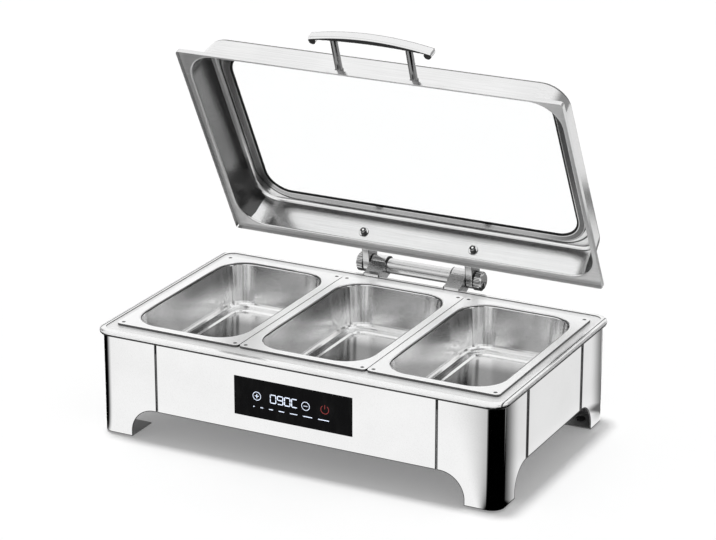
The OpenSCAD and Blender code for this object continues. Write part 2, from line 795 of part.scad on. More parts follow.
// Wires run between the bottom plate and the water pan, clear of the element
wire_d = 3;
wire_gap = 0.3;        // between a wire's end and what it is soldered to
wire_turn = 10;        // length that a bend takes
wire_rise = 4;         // of a wire above the bottom plate
wire_in = 14;          // distance from the panels
wire_z = plate_z + sheet + wire_rise;
wire_front = -body_d / 2 + wire_in;
wire_back = body_d / 2 - wire_in;
housing_low = control_z - control_h / 2 + tray_in;
wire_entry = 0.36 * control_w;
pin_back = body_d / 2 - inlet_depth - pin_start;
module mains_wire() {
  x = water_w / 2 - 2 * wire_turn;
  start_x = inlet_x + pin_pitch;
  start_z = inlet_z - pin_low;
  color("#a03020") wire([
    [start_x, pin_back - wire_gap, start_z], [start_x, pin_back - 0.4 * wire_d, start_z],
    [start_x, pin_back - 0.8 * wire_d, start_z - wire_d],
    [start_x, pin_back - 0.8 * wire_d, start_z - 1.6 * wire_turn],
    [start_x, wire_back, wire_z + wire_turn / 2], [start_x + wire_turn, wire_back, wire_z],
    [x - wire_turn, wire_back, wire_z], [x, wire_back - wire_turn, wire_z],
    [x, wire_front + wire_turn, wire_z], [x - wire_turn, wire_front, wire_z],
    [wire_entry + wire_turn, wire_front, wire_z], [wire_entry, wire_front, wire_z + wire_rise],
    [wire_entry, wire_front, housing_low - wire_gap]
  ], wire_d);
}

terminal_x = -heater_half - terminal_len;
module heater_wire(entry, y, x, end_y) {
  wire([
    [-entry, y, housing_low - wire_gap], [-entry, y, wire_z + wire_rise],
    [-entry - wire_rise, y, wire_z], [x + wire_turn, y, wire_z],
    [x, y + wire_turn, wire_z], [x, end_y - 1.6 * wire_turn, heater_z - wire_rise / 2],
    [x + 0.6 * wire_turn, end_y, heater_z], [terminal_x - wire_gap, end_y, heater_z]
  ], wire_d);
}
module heater_wires() {
  color("#d8d0b0") {
    heater_wire(wire_entry, wire_front, terminal_x - 1.6 * wire_turn, heater_first_y);
    heater_wire(wire_entry + 4 * wire_d, wire_front - wire_rise, terminal_x - 2.4 * wire_turn,
                -heater_first_y);
  }
}

module sensor_wire() {
  low = clamp_z - 0.4;
  high = spreader_z - probe_drop;
  start_y = -probe_len / 2;
  color("#303030") wire([
    [probe_x, start_y - wire_gap, high], [probe_x, start_y - wire_d / 2, high],
    [probe_x, start_y - 1.4 * wire_turn, low], [probe_x, wire_front + 0.8 * wire_turn, low],
    [probe_x, wire_front, low + 1.5 * wire_rise], [probe_x, wire_front, housing_low - wire_gap]
  ], 0.8 * wire_d);
}

// Hinge bracket: hooks over the rim, is screwed to the back panel and clamps the barrel
module hinge_bracket(x) {
  ring_r = barrel_d / 2 + ring_wall;
  edge = rim_d / 2;
  pad = body_d / 2;
  low = panel_top - side_gap - bracket_drop;
  foot = edge - bracket_foot;
  web = [
    [foot, rim_top], [foot, rim_top + bracket_plate], [edge, rim_top + bracket_plate + 1],
    [hinge_y - ring_r * 0.6, hinge_z + ring_r * 0.75], [hinge_y + 1, hinge_z - ring_r * 0.95],
    [bracket_back, panel_top - 6], [bracket_back, low], [pad, low],
    [pad, panel_top - side_gap], [edge + side_gap, panel_top - side_gap], [edge + side_gap, rim_top]
  ];
  color("silver") difference() {
    union() {
      translate([x * bracket_x, 0, 0]) rotate([90, 0, 90])
        linear_extrude(ring_w, center = true) polygon(web);
      on_axis(x * bracket_x - ring_w / 2, x * bracket_x + ring_w / 2, 2 * ring_r);
    }
    on_axis(x * bracket_x - ring_w, x * bracket_x + ring_w, barrel_d + 2 * run_gap);
    bracket_screw_places() translate([0, 0, -bracket_screw_len])
      cylinder(d = bracket_screw_d + 2 * fit_gap, h = bracket_screw_len + overlap);
  }
}
module bracket_screw_places() {
  z = panel_top - skirt_h - bracket_screw_d;
  for (x = [-1, 1], dx = [-1, 1])
    translate([x * bracket_x + dx * ring_w / 4, bracket_back, z]) rotate([-90, 0, 0]) children();
}
module hinge_bracket_left() { hinge_bracket(-1); }
module hinge_bracket_right() { hinge_bracket(1); }
module bracket_screws() {
  color("grey") bracket_screw_places()
    screw(bracket_screw_d, bracket_screw_len - 1, head_d = 7.5, head_h = 2.4);
}

// Cylinder along the hinge axis from x = a to x = b
module on_axis(a, b, d) {
  translate([a, hinge_y, hinge_z]) rotate([0, 90, 0]) cylinder(d = d, h = b - a);
}
bush_d = shaft_d + 2 * bush_wall;
module hinge_barrel() {
  color("whitesmoke") difference() {
    on_axis(-barrel_half, barrel_half, barrel_d);
    on_axis(-barrel_half - 1, barrel_half + 1, bush_d + 2 * fit_gap);
  }
}
module sleeve(a, b) {
  difference() {
    on_axis(a, b, bush_d);
    on_axis(a - 1, b + 1, shaft_d + 2 * run_gap);
  }
}
module hinge_bushes() {
  color("goldenrod") {
    sleeve(-barrel_half, -barrel_half + bush_len);
    sleeve(barrel_half - bush_len, barrel_half);
  }
}
module friction_sleeve() {
  reach = barrel_half - bush_len - seat_gap;
  color("ivory") sleeve(-reach, reach);
}

// Shaft turns with the lid and has a flat at each end for the arm's eye
module hinge_shaft() {
  color("silver") on_shaft() difference() {
    on_axis(-shaft_half, shaft_half, shaft_d);
    for (x = [-1, 1]) above_flat(x, eye_x - seat_gap, shaft_half + 1, 0);
  }
}
// Turns with the lid about the hinge axis, starting from the closed pose
module on_shaft() {
  translate([0, hinge_y, hinge_z]) rotate([-lid_open, 0, 0])
    translate([0, -hinge_y, -hinge_z]) children();
}
// Space above the shaft's flat, between the distances a and b from the middle
module above_flat(x, a, b, gap) {
  translate([x * (a + b) / 2, hinge_y, hinge_z + shaft_flat + gap + shaft_d / 2])
    cube([b - a, 2 * shaft_d, shaft_d], center = true);
}

// Lid arm: pad on the lid's back wall, web and eye on the shaft
module hinge_arm(x) {
  flange_clear = lid_z + lip_h + 0.8;
  back_edge = lid_d / 2 + 1;
  web_rise = 11;
  eye_r = eye_d / 2;
  web = [
    [arm_y(arm_bolt_v - arm_pad_h / 2 + 4) + arm_pad_t / 2, flange_clear],
    [back_edge, flange_clear],
    [hinge_y - eye_r * 0.5, hinge_z - eye_r * 0.85],
    [hinge_y + eye_r * 0.35, hinge_z + eye_r * 0.93],
    [back_edge + 6, lid_z + arm_bolt_v + web_rise],
    [arm_y(arm_bolt_v + arm_pad_h / 2 - 2) + arm_pad_t / 2, lid_z + arm_bolt_v + arm_pad_h / 2 - 2]
  ];
  color("silver") on_shaft() difference() {
    union() {
      translate([x * (eye_x + eye_w / 2), 0, 0]) rotate([90, 0, 90])
        linear_extrude(eye_w, center = true) {
          polygon(web);
          translate([hinge_y, hinge_z]) circle(eye_r);
        }
      at_arm_bolt(x) translate([0, 0, seat_gap]) linear_extrude(arm_pad_t)
        round_rect(arm_pad_w, arm_pad_h, 3);
    }
    difference() {
      on_axis(x * (eye_x + eye_w / 2) - eye_w, x * (eye_x + eye_w / 2) + eye_w, shaft_d + 2 * fit_gap);
      above_flat(x, eye_x - 1, eye_x + eye_w + 1, fit_gap);
    }
    at_arm_bolt(x) cylinder(d = bolt_d + 2 * fit_gap, h = bolt_grip + 1);
  }
}
// Outer face of the lid's back wall at height v on the lid
function wall_out(v) = lid_t / cos(lid_draft) - (v - lip_h + lid_t) * tan(lid_draft);
function arm_y(v) = lid_mouth_d / 2 + wall_out(v);
module at_arm_bolt(x) {
  translate([x * arm_bolt_x, arm_y(arm_bolt_v), lid_z + arm_bolt_v])
    rotate([-(90 - lid_draft), 0, 0]) children();
}
module hinge_arm_left() { hinge_arm(-1); }
module hinge_arm_right() { hinge_arm(1); }

washer_t = 1;
washer_d = 13;
bolt_head_d = 9;
bolt_head_h = 4;
module arm_washers() {
  color("lightgrey") on_shaft() for (x = [-1, 1]) at_arm_bolt(x)
    translate([0, 0, -lid_t - washer_t - fit_gap]) difference() {
      cylinder(d = washer_d, h = washer_t);
      translate([0, 0, -1]) cylinder(d = bolt_d + 2 * seat_gap, h = washer_t + 2);
    }
}
module arm_bolts() {
  color("grey") on_shaft() for (x = [-1, 1]) at_arm_bolt(x)
    translate([0, 0, -lid_t - washer_t - 2 * fit_gap]) {
      cylinder(d = bolt_d, h = lid_t + washer_t + bolt_grip);
      translate([0, 0, -bolt_head_h]) cylinder(d = bolt_head_d, h = bolt_head_h, $fn = 6);
    }
}

// Fluted end cap on the shaft's end
flutes = 20;
flute_d = 3;
flute_out = 0.7;
module end_cap(x) {
  step_h = 2;
  step_d = cap_d - 5;
  color("whitesmoke") on_shaft() translate([x * cap_x, hinge_y, hinge_z]) rotate([0, x * 90, 0])
    difference() {
      union() {
        cylinder(d = cap_d, h = cap_w - step_h);
        cylinder(d = step_d, h = cap_w);
      }
      translate([0, 0, -1])
        cylinder(d = shaft_d + 2 * fit_gap, h = shaft_half - cap_x + 1 + fit_gap);
      for (i = [0 : flutes - 1]) rotate(360 * i / flutes)
        translate([cap_d / 2 + flute_out, 0, -1]) cylinder(d = flute_d, h = cap_w + 2);
    }
}
module end_cap_left() { end_cap(-1); }
module end_cap_right() { end_cap(1); }

// Lid shell: drawn dome with a lip, a flange and a recessed seat for the glass
top_x = lid_r - lid_inset - lid_top_r - 2;
recess_w = window_w + 2 * glass_seat;
recess_d = window_d + 2 * glass_seat;
recess_r = window_r + glass_seat;
module lid_shell() {
  cx = lid_mouth_w / 2 - lid_r;
  cy = lid_mouth_d / 2 - lid_r;
  mouth_r = 3;
  slit_w = 1.4;
  wall = [
    [lid_r + mouth_r + overlap, lip_h - lid_t, 0],
    [lid_r, lip_h - lid_t, mouth_r],
    [lid_r - lid_inset, lid_h - lid_t, lid_top_r],
    [top_x, lid_h - lid_t, 0]
  ];
  color("gainsboro") on_shaft() difference() {
    translate([0, 0, lid_z]) {
      around(cx, cy) sheet_section(wall, lid_t);
      translate([0, 0, lid_h - lid_t])
        frame_plate(2 * (cx + top_x + overlap), 2 * (cy + top_x + overlap), top_x + overlap,
                    recess_w, recess_d, recess_r, lid_t);
      translate([0, 0, seat_z - lid_t]) {
        frame_wall(recess_w + 2 * lid_t, recess_d + 2 * lid_t, recess_r + lid_t, lid_t,
                   lid_h - seat_z + lid_t);
        frame_plate(recess_w + 2 * lid_t, recess_d + 2 * lid_t, recess_r + lid_t,
                    window_w, window_d, window_r, lid_t);
      }
      translate([0, 0, lip_h - lid_t])
        frame_plate(lid_w, lid_d, lid_edge_r, lid_mouth_w + 2 * mouth_r, lid_mouth_d + 2 * mouth_r,
                    lid_r + mouth_r, lid_t);
      difference() {
        frame_wall(lid_w, lid_d, lid_edge_r, lid_t, lip_h);
        for (x = [-1, 1], y = [-1, 1]) translate([x * lid_w / 2, y * lid_d / 2, (lip_h - lid_t) / 2])
          rotate(x * y * 45) cube([6 * lid_edge_r, slit_w, lip_h - lid_t], center = true);
      }
    }
    for (x = [-1, 1]) {
      at_arm_bolt(x) cylinder(d = bolt_d + 2 * seat_gap, h = 6 * lid_t, center = true);
      at_post(x) cylinder(d = handle_screw_d + 2 * seat_gap, h = 6 * lid_t, center = true);
    }
  }
}

glass_edge = glass_seat - gasket_edge - seat_gap;
module lid_glass() {
  color("aliceblue", 0.35) on_shaft() translate([0, 0, lid_z + seat_z + gasket_t])
    linear_extrude(glass_t) round_rect(
      window_w + 2 * glass_edge, window_d + 2 * glass_edge, window_r + glass_edge);
}

// Black gasket: a pad under the glass and a wall round its edge
module glass_gasket() {
  w = window_w + 2 * (glass_edge + gasket_edge);
  d = window_d + 2 * (glass_edge + gasket_edge);
  r = window_r + glass_edge + gasket_edge;
  color("#181818") on_shaft() translate([0, 0, lid_z + seat_z]) {
    frame_plate(w, d, r, window_w - 2 * gasket_lip, window_d - 2 * gasket_lip,
                window_r - gasket_lip, gasket_t);
    frame_wall(w, d, r, gasket_edge - fit_gap, gasket_t + glass_t);
  }
}

// Handle frame: x along the bar, z out of the lid's front wall
module at_handle() {
  translate([handle_x, -arm_y(post_v), lid_z + post_v]) rotate([90 - lid_draft, 0, 0]) children();
}
module at_post(x) {
  at_handle() translate([x * post_span / 2, 0, 0]) children();
}
function arch_radius(half, rise) = (half * half + rise * rise) / (2 * rise);
handle_screw_d = 4;
handle_head_d = 7;
handle_head_h = 3;
handle_grip = 14;
bar_half = bar_len / 2;
top_r = arch_radius(bar_half, bar_rise);
under_r = arch_radius(bar_half, bar_under);
bar_mid = post_len + under_r - sqrt(under_r * under_r - post_span * post_span / 4);
// Space under the bar: a long cylinder across it
module under_bar(gap) {
  translate([0, 0, bar_mid - under_r]) rotate([90, 0, 0])
    cylinder(r = under_r - gap, h = 4 * bar_w, center = true, $fn = 360);
}
module handle_bar() {
  half_turn = asin(bar_half / top_r);
  edge_r = 3;
  tip_inset = 0.8;
  tip_z = bar_mid + bar_t - bar_rise - tip_d / 2;
  color("whitesmoke") on_shaft() at_handle() {
    difference() {
      translate([0, 0, bar_mid + bar_t - top_r]) rotate([90, 0, 0]) rotate(90 - half_turn)
        rotate_extrude(angle = 2 * half_turn, $fn = 360)
          translate([top_r - bar_t, 0]) round_rect(2 * bar_t, bar_w, edge_r);
      under_bar(0);
    }
    for (x = [-1, 1]) translate([x * (bar_half - tip_d / 2), 0, tip_z]) rotate([90, 0, 0])
      cylinder(d = tip_d, h = bar_w - 2 * tip_inset, center = true);
  }
}

module handle_post(x) {
  collar_t = 1.5;
  collar_w = 1;
  color("silver") on_shaft() at_handle() difference() {
    intersection() {
      translate([x * post_span / 2, 0, 0]) {
        cylinder(d = post_d, h = post_len + bar_t);
        cylinder(d = post_d + 2 * collar_w, h = collar_t);
      }
      under_bar(fit_gap);
    }
    translate([x * post_span / 2, 0, -1])
      cylinder(d = handle_screw_d + 2 * fit_gap, h = handle_grip + 1.5);
  }
}
module handle_post_left() { handle_post(-1); }
module handle_post_right() { handle_post(1); }
module handle_screws() {
  color("grey") on_shaft() for (x = [-1, 1]) at_post(x) mirror([0, 0, 1]) translate([0, 0, lid_t])
    screw(handle_screw_d, lid_t + handle_grip, handle_head_d, handle_head_h);
}

front_panel();
back_panel();
left_panel();
right_panel();
leg_front_left();
leg_front_right();
leg_back_left();
leg_back_right();
rubber_feet();
top_frame();
water_pan();
food_pan_left();
food_pan_middle();
food_pan_right();
bottom_plate();
bottom_screws();
heat_spreader();
heating_element();
heater_clamps();
thermal_cutout();
temperature_probe();
control_glass();
control_housing();
control_board();
display_module();
power_inlet();
inlet_pins();
inlet_screws();
mains_wire();
heater_wires();
sensor_wire();
hinge_bracket_left();
hinge_bracket_right();
bracket_screws();
hinge_barrel();
hinge_bushes();
friction_sleeve();
lid_shell();
lid_glass();
glass_gasket();
hinge_arm_left();
hinge_arm_right();
arm_bolts();
arm_washers();
hinge_shaft();
end_cap_left();
end_cap_right();
handle_bar();
handle_post_left();
handle_post_right();
handle_screws();
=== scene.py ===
"""Looks of an electric chafing dish with a hinged window lid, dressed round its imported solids."""

import logging
import math
from dataclasses import dataclass
from enum import Enum
from functools import reduce
from typing import Any, Callable, Iterable, Sequence, Union

import bmesh
import bpy
from mathutils import Matrix, Vector


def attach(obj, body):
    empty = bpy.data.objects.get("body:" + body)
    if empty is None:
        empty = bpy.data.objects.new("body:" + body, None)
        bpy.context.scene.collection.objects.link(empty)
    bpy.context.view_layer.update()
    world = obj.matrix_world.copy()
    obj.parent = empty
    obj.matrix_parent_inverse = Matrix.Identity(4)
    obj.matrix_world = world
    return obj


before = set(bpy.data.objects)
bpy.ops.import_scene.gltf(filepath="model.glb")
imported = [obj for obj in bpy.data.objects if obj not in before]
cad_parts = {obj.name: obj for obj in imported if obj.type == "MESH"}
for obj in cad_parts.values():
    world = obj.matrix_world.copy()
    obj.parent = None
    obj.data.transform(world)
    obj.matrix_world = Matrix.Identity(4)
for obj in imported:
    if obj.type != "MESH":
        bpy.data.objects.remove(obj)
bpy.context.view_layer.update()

MM = 0.001
LOG = logging.getLogger("chafing_dish")

# The hinge's axis in millimetres, and how far the lid is open at rest in degrees.
HINGE_Y = 194.0
HINGE_Z = 149.0
LID_OPEN = 62.0

# Shares of a normal from which a face counts as square to an axis, or as leaning towards it.
SQUARE = 0.9
LEANING = 0.5
SLACK = 0.1
NOISE_MEAN = 0.5

Number = Union[int, float]
Point = tuple[float, float]
Triple = tuple[float, float, float]
Limits = tuple[float, float]
# The two limits of a smooth step and its results there.
Ramp = tuple[float, float, float, float]
# Values at which a strip starts, is full, starts to end and has ended.
Fades = tuple[float, float, float, float]
Mesh = bmesh.types.BMesh

# Ends of a strip that has no start, and of one that has no end.
LOW = (-100.0, -99.0)
HIGH = (99.0, 100.0)


class Axis(Enum):
    """The axes of the part's frame."""

    X = 0
    Y = 1
    Z = 2


class Body(Enum):
    """The two moving bodies of the dish."""

    BASE = "base"
    LID = "lid"


class Glow(Enum):
    """The nodes that give light."""

    SKY = "ShaderNodeBackground"
    LAMP = "ShaderNodeEmission"


class Value:
    """A number socket that takes part in shader maths written as Python expressions."""

    def __init__(self, graph: "Graph", socket: bpy.types.NodeSocket) -> None:
        """Wraps one output socket of a graph."""
        self.graph = graph
        self.socket = socket

    def _math(self, operation: str, first: Any, second: Any = 0.0) -> "Value":
        """Adds one Math node with two operands, which are values or numbers."""
        return self.graph.node("ShaderNodeMath", {"operation": operation}, {0: first, 1: second})

    def __add__(self, other: Any) -> "Value":
        """Sum."""
        return self._math("ADD", self, other)

    def __radd__(self, other: Any) -> "Value":
        """Sum with a number on the left."""
        return self._math("ADD", other, self)

    def __sub__(self, other: Any) -> "Value":
        """Difference."""
        return self._math("SUBTRACT", self, other)

    def __rsub__(self, other: Any) -> "Value":
        """Difference with a number on the left."""
        return self._math("SUBTRACT", other, self)

    def __mul__(self, other: Any) -> "Value":
        """Product."""
        return self._math("MULTIPLY", self, other)

    def __rmul__(self, other: Any) -> "Value":
        """Product with a number on the left."""
        return self._math("MULTIPLY", other, self)

    def __truediv__(self, other: Any) -> "Value":
        """Quotient."""
        return self._math("DIVIDE", self, other)

    def __rtruediv__(self, other: Any) -> "Value":
        """Quotient with a number on the left."""
        return self._math("DIVIDE", other, self)

    def __abs__(self) -> "Value":
        """Size without its sign."""
        return self._math("ABSOLUTE", self)

    def least(self, other: Any) -> "Value":
        """Lesser of two values."""
        return self._math("MINIMUM", self, other)

    def most(self, other: Any) -> "Value":
        """Greater of two values."""
        return self._math("MAXIMUM", self, other)

    def hypot(self, other: "Value") -> "Value":
        """Length of the way that goes this far along one axis and so far along another."""
        return self._math("SQRT", self * self + other * other)

    def bearing(self, ahead: Any) -> "Value":
        """Angle in degrees of a point that lies this far to the right and so far ahead."""
        return self._math("ARCTAN2", self, ahead) * math.degrees(1.0)

    def blend(self, other: "Value", share: Number) -> "Value":
        """Mean with another value, which has the given share."""
        return self * (1.0 - share) + other * share

    def ease(self, low: Number, high: Number, start: Number = 0.0, end: Number = 1.0) -> "Value":
        """Smooth step between two limits.

        Args:
            low: input at which the step starts.
            high: input at which it ends.
            start: result below the step.
            end: result above it.

        Returns:
            The eased value.
        """
        return self.graph.node(
            "ShaderNodeMapRange",
            {"interpolation_type": "SMOOTHSTEP"},
            {"Value": self, "From Min": low, "From Max": high, "To Min": start, "To Max": end},
        )

    def fall(self, low: Number, high: Number) -> "Value":
        """Smooth step from 1 down to 0 between two limits."""
        return self.ease(low, high, 1.0, 0.0)

    def strip(self, fades: Fades) -> "Value":
        """1 within a strip, 0 outside it."""
        return self.ease(*fades[:2]) * self.fall(*fades[2:])


class Graph:
    """A shader tree whose nodes all come from one method."""

    def __init__(self, tree: bpy.types.NodeTree) -> None:
        """Clears a tree and keeps it."""
        self.tree = tree
        tree.nodes.clear()

    def node(self, kind: str, settings: dict[str, Any] | None = None,
             inputs: dict[Union[int, str], Any] | None = None, out: Union[int, str] = 0) -> Value:
        """Adds a node, sets it up and links it.

        Args:
            kind: Blender's name for the node type.
            settings: attributes that are set first.
            inputs: values or links of its sockets, by name or number.
            out: which output the result stands for.

        Returns:
            The chosen output.
        """
        made = self.tree.nodes.new(kind)
        for name, setting in (settings or {}).items():
            setattr(made, name, setting)
        for key, given in (inputs or {}).items():
            socket = made.inputs[key]
            if isinstance(given, Value):
                self.tree.links.new(given.socket, socket)
            else:
                socket.default_value = given
        return Value(self, made.outputs[out] if made.outputs else None)

    def _vector(self, operation: str, first: Value, second: Triple) -> Value:
        """Adds one Vector Math node with a constant."""
        return self.node("ShaderNodeVectorMath", {"operation": operation}, {0: first, 1: second})

    def place(self) -> Value:
        """Coordinates in the part's own frame, in metres."""
        return self.node("ShaderNodeTexCoord", out="Object")

    def axes(self, vector: Value) -> tuple[Value, Value, Value]:
        """The three numbers of a vector."""
        outs = self.node("ShaderNodeSeparateXYZ", inputs={0: vector}).socket.node.outputs
        return tuple(Value(self, outs[axis.value]) for axis in Axis)

    def turned(self, vector: Value, degrees: Number) -> Value:
        """A vector turned about the X axis."""
        return self.node("ShaderNodeVectorRotate", {"rotation_type": "X_AXIS"},
                         {"Vector": vector, "Angle": math.radians(degrees)})

    def around(self, middle: Triple, degrees: Number) -> tuple[Value, Value, Value]:
        """Coordinates from a point, turned about the X axis."""
        return self.axes(self.turned(self._vector("SUBTRACT", self.place(), middle), degrees))

    def noise(self, vector: Value, scale: Union[Number, Triple], detail: Number = 2.0,
              rough: Number = 0.5) -> Value:
        """Smooth noise from 0 to 1.

        Args:
            vector: where it is looked up.
            scale: waves to the metre, or those along each axis.
            detail: octaves of finer noise.
            rough: how strong those are.

        Returns:
            The noise.
        """
        if isinstance(scale, tuple):
            vector, scale = self._vector("MULTIPLY", vector, scale), 1.0
        inputs = {"Vector": vector, "Scale": scale, "Detail": detail, "Roughness": rough}
        return self.node("ShaderNodeTexNoise", {"noise_dimensions": "3D"}, inputs, "Fac")

    def mix(self, share: Any, first: Any, second: Any) -> Value:
        """Colour between two others.

        Args:
            share: how much of the second colour shows.
            first: colour at 0, a link or three numbers.
            second: colour at 1, a link or three numbers.

        Returns:
            The mixed colour.
        """
        full = [c if isinstance(c, Value) else (*c, 1.0) for c in (first, second)]
        inputs = {0: share, 6: full[0], 7: full[1]}
        return self.node("ShaderNodeMix", {"data_type": "RGBA"}, inputs, 2)

    def bump(self, height: Value, depth: Number) -> Value:
        """Normal of a surface whose relief has a real depth in metres."""
        return self.node("ShaderNodeBump", None, {"Height": height, "Distance": depth})

    def light(self, kind: Glow, level: Number = 1.0, strength: Number = 1.0) -> Value:
        """A grey light."""
        colour = (level, level, level, 1.0)
        return self.node(kind.value, None, {"Color": colour, "Strength": strength})

    def mixed(self, share: Any, first: Value, second: Value) -> Value:
        """A shader between two others, by the share of the second."""
        return self.node("ShaderNodeMixShader", None, {0: share, 1: first, 2: second})


@dataclass(frozen=True)
class Finish:
    """A surface finish: a name, plain constants, the way it varies and its dark places."""

    name: str
    colour: Triple
    roughness: float = 0.4
    metallic: float = 0.0
    constants: tuple[tuple[str, float], ...] = ()
    dark: Triple = (0.02, 0.02, 0.02)
    dark_rough: float = 0.0

    def vary(self, graph: Graph) -> dict[str, Any]:
        """Inputs of the shader that change over the surface; each finish has its own."""
        raise NotImplementedError

    def mask(self, graph: Graph) -> Value | None:
        """1 where the finish is dark, or nothing for a finish without such places."""
        return None

    def tinted(self, gain: float, lift: float = 0.0) -> Triple:
        """The finish's colour made darker or paler."""
        return tuple(min(1.0, gain * c + lift) for c in self.colour)

    def material(self) -> bpy.types.Material:
        """The finish as a material, made once.

        Returns:
            The material of this finish's name.
        """
        found = bpy.data.materials.get(self.name)
        if found:
            return found
        made = bpy.data.materials.new(self.name)
        made.use_nodes = True
        graph = Graph(made.node_tree)
        inputs: dict[Union[int, str], Any] = {
            "Base Color": (*self.colour, 1.0),
            "Roughness": self.roughness,
            "Metallic": self.metallic,
        }
        inputs.update(dict(self.constants))
        inputs.update(self.vary(graph))
        mask = self.mask(graph)
        if mask is not None:
            inputs["Base Color"] = graph.mix(mask, inputs["Base Color"], self.dark)
            if self.dark_rough:
                inputs["Roughness"] = inputs["Roughness"] + self.dark_rough * mask
        shader = graph.node("ShaderNodeBsdfPrincipled", None, inputs)
        graph.node("ShaderNodeOutputMaterial", None, {"Surface": shader})
        made.diffuse_color = (*self.colour, 1.0)
        return made


Pick = Callable[[Vector, Vector], Finish]


@dataclass(frozen=True)
class PolishedSteel(Finish):
    """Buffed stainless sheet: a clear reflection with faint haze and wipe marks."""

    haze: float = 0.05
    ripple: float = 0.00001
    cloud_scale: float = 14.0
    grain_scale: float = 900.0
    wipes: Triple = (260.0, 260.0, 18.0)
    dullest: float = 0.93
    tones: Limits = (0.3, 0.75)

    def vary(self, graph: Graph) -> dict[str, Any]:
        """Haze in the gloss, a trace of grain in the tone and a slow ripple in the sheet.

        Args:
            graph: the material's tree.

        Returns:
            Inputs of the shader by name.
        """
        at = graph.place()
        cloud = graph.noise(at, self.cloud_scale, detail=3.0)
        wipe = graph.noise(at, self.wipes, detail=3.0, rough=0.6)
        grain = graph.noise(at, self.grain_scale, detail=1.0)
        tone = cloud.blend(grain, share=0.4).ease(*self.tones)
        return {
            "Base Color": graph.mix(tone, self.colour, self.tinted(self.dullest)),
            "Roughness": self.roughness + self.haze * cloud.blend(wipe, share=0.4),
            "Normal": graph.bump(cloud.blend(wipe, share=0.3), self.ripple),
        }


@dataclass(frozen=True)
class WrappedSteel(PolishedSteel):
    """Polished panel sheet with fine lines of painted shade along its cut edges and seams."""

    seam: float = 0.0831
    seam_half: float = 0.0009
    half_w: float = 0.278
    half_d: float = 0.165
    arch_from: float = 0.079
    arch_z: float = 0.0095
    arch_r: float = 0.033
    foot_z: float = 0.003
    line: float = 0.0012
    core: float = 0.45
    dark: Triple = (0.012, 0.012, 0.013)
    dark_rough: float = 0.3

    def mask(self, graph: Graph) -> Value:
        """Painted shade lines along the arches, the lower edges and the seams.

        Args:
            graph: the material's tree.

        Returns:
            1 on the lines.
        """
        x, y, z = graph.axes(graph.place())
        along = (self.half_w - abs(x)).most(self.half_d - abs(y))
        across = (self.arch_from - along).most(0.0)
        above = (z - self.arch_z).most(0.0)
        edge = (across.hypot(above) - self.arch_r).least(z - self.foot_z)
        seam = abs(along - self.seam) - self.seam_half
        return edge.least(seam).fall(self.core * self.line, self.line)


@dataclass(frozen=True)
class RimSteel(PolishedSteel):
    """Polished rim with a painted shade line along its crest at the two sides."""

    crest: Fades = (0.2768, 0.2773, 0.2785, 0.2790)
    crest_depth: float = 0.9

    def mask(self, graph: Graph) -> Value:
        """The painted shade line along the crest."""
        x, _, _ = graph.axes(graph.place())
        return self.crest_depth * abs(x).strip(self.crest)


@dataclass(frozen=True)
class BoltSteel(PolishedSteel):
    """Bright bolt steel with painted shade: a dark outline round the washer, and a dark ring on the
    head round a bright middle.
    """

    middle: Triple = (0.0, 0.1838, 0.1937)
    across: float = 0.080
    outline: Limits = (0.0059, 0.0064)
    head: Fades = (0.0012, 0.0020, 0.0038, 0.0042)

    def mask(self, graph: Graph) -> Value:
        """Two rings of painted shade round each bolt.

        Args:
            graph: the material's tree.

        Returns:
            1 in the rings.
        """
        x, _, z = graph.around(self.middle, LID_OPEN)
        away = (abs(x) - self.across).hypot(z)
        return away.ease(*self.outline).most(away.strip(self.head))


@dataclass(frozen=True)
class BrushedSteel(Finish):
    """Satin stainless sheet with fine drawn lines along one way."""

    lines: Triple = (40.0, 2200.0, 2200.0)
    turn: float = 0.0
    spread: float = 0.12
    mean: float = 0.4
    depth: float = 0.000006
    cloud_scale: float = 11.0
    scuffs: Triple = (90.0, 30.0, 60.0)
    dullest: float = 0.86
    tones: Limits = (0.3, 0.7)

    def vary(self, graph: Graph) -> dict[str, Any]:
        """Drawn lines in tone, gloss and relief over a slow cloud of wear.

        Args:
            graph: the material's tree.

        Returns:
            Inputs of the shader by name.
        """
        at = graph.turned(graph.place(), self.turn)
        line = graph.noise(at, self.lines, detail=3.0, rough=0.65)
        cloud = graph.noise(at, self.cloud_scale, detail=3.0)
        scuff = graph.noise(at, self.scuffs, detail=4.0, rough=0.7)
        tone = line.blend(cloud, share=0.4).ease(*self.tones)
        gloss = line.blend(scuff, share=0.4) - self.mean
        return {
            "Base Color": graph.mix(tone, self.colour, self.tinted(self.dullest)),
            "Roughness": self.roughness + self.spread * gloss,
            "Normal": graph.bump(line, self.depth),
        }


@dataclass(frozen=True)
class PanSteel(BrushedSteel):
    """Satin steel of a food pan with painted shade in a place that lies within a strip along some
    axes.
    """

    strips: tuple[tuple[Axis, Fades], ...] = ()
    painted_shade: float = 0.8

    def mask(self, graph: Graph) -> Value:
        """The duller place.

        Args:
            graph: the material's tree.

        Returns:
            How dark the painted shade is.
        """
        place = graph.axes(graph.place())
        shade_share: Any = self.painted_shade
        for axis, fades in self.strips:
            shade_share = place[axis.value].strip(fades) * shade_share
        return shade_share


@dataclass(frozen=True)
class LidSteel(BrushedSteel):
    """Brushed sheet of the lid, whose places are those of the closed lid."""

    lines: Triple = (10.0, 900.0, 900.0)
    turn: float = LID_OPEN
    hinge: Triple = (0.0, HINGE_Y * MM, HINGE_Z * MM)
    dark: Triple = (0.03, 0.03, 0.03)

    def shut(self, graph: Graph) -> tuple[Value, Value, Value]:
        """Coordinates as if the lid were closed, in metres in the part's frame."""
        x, y, z = graph.around(self.hinge, self.turn)
        return x, y + self.hinge[1], z + self.hinge[2]


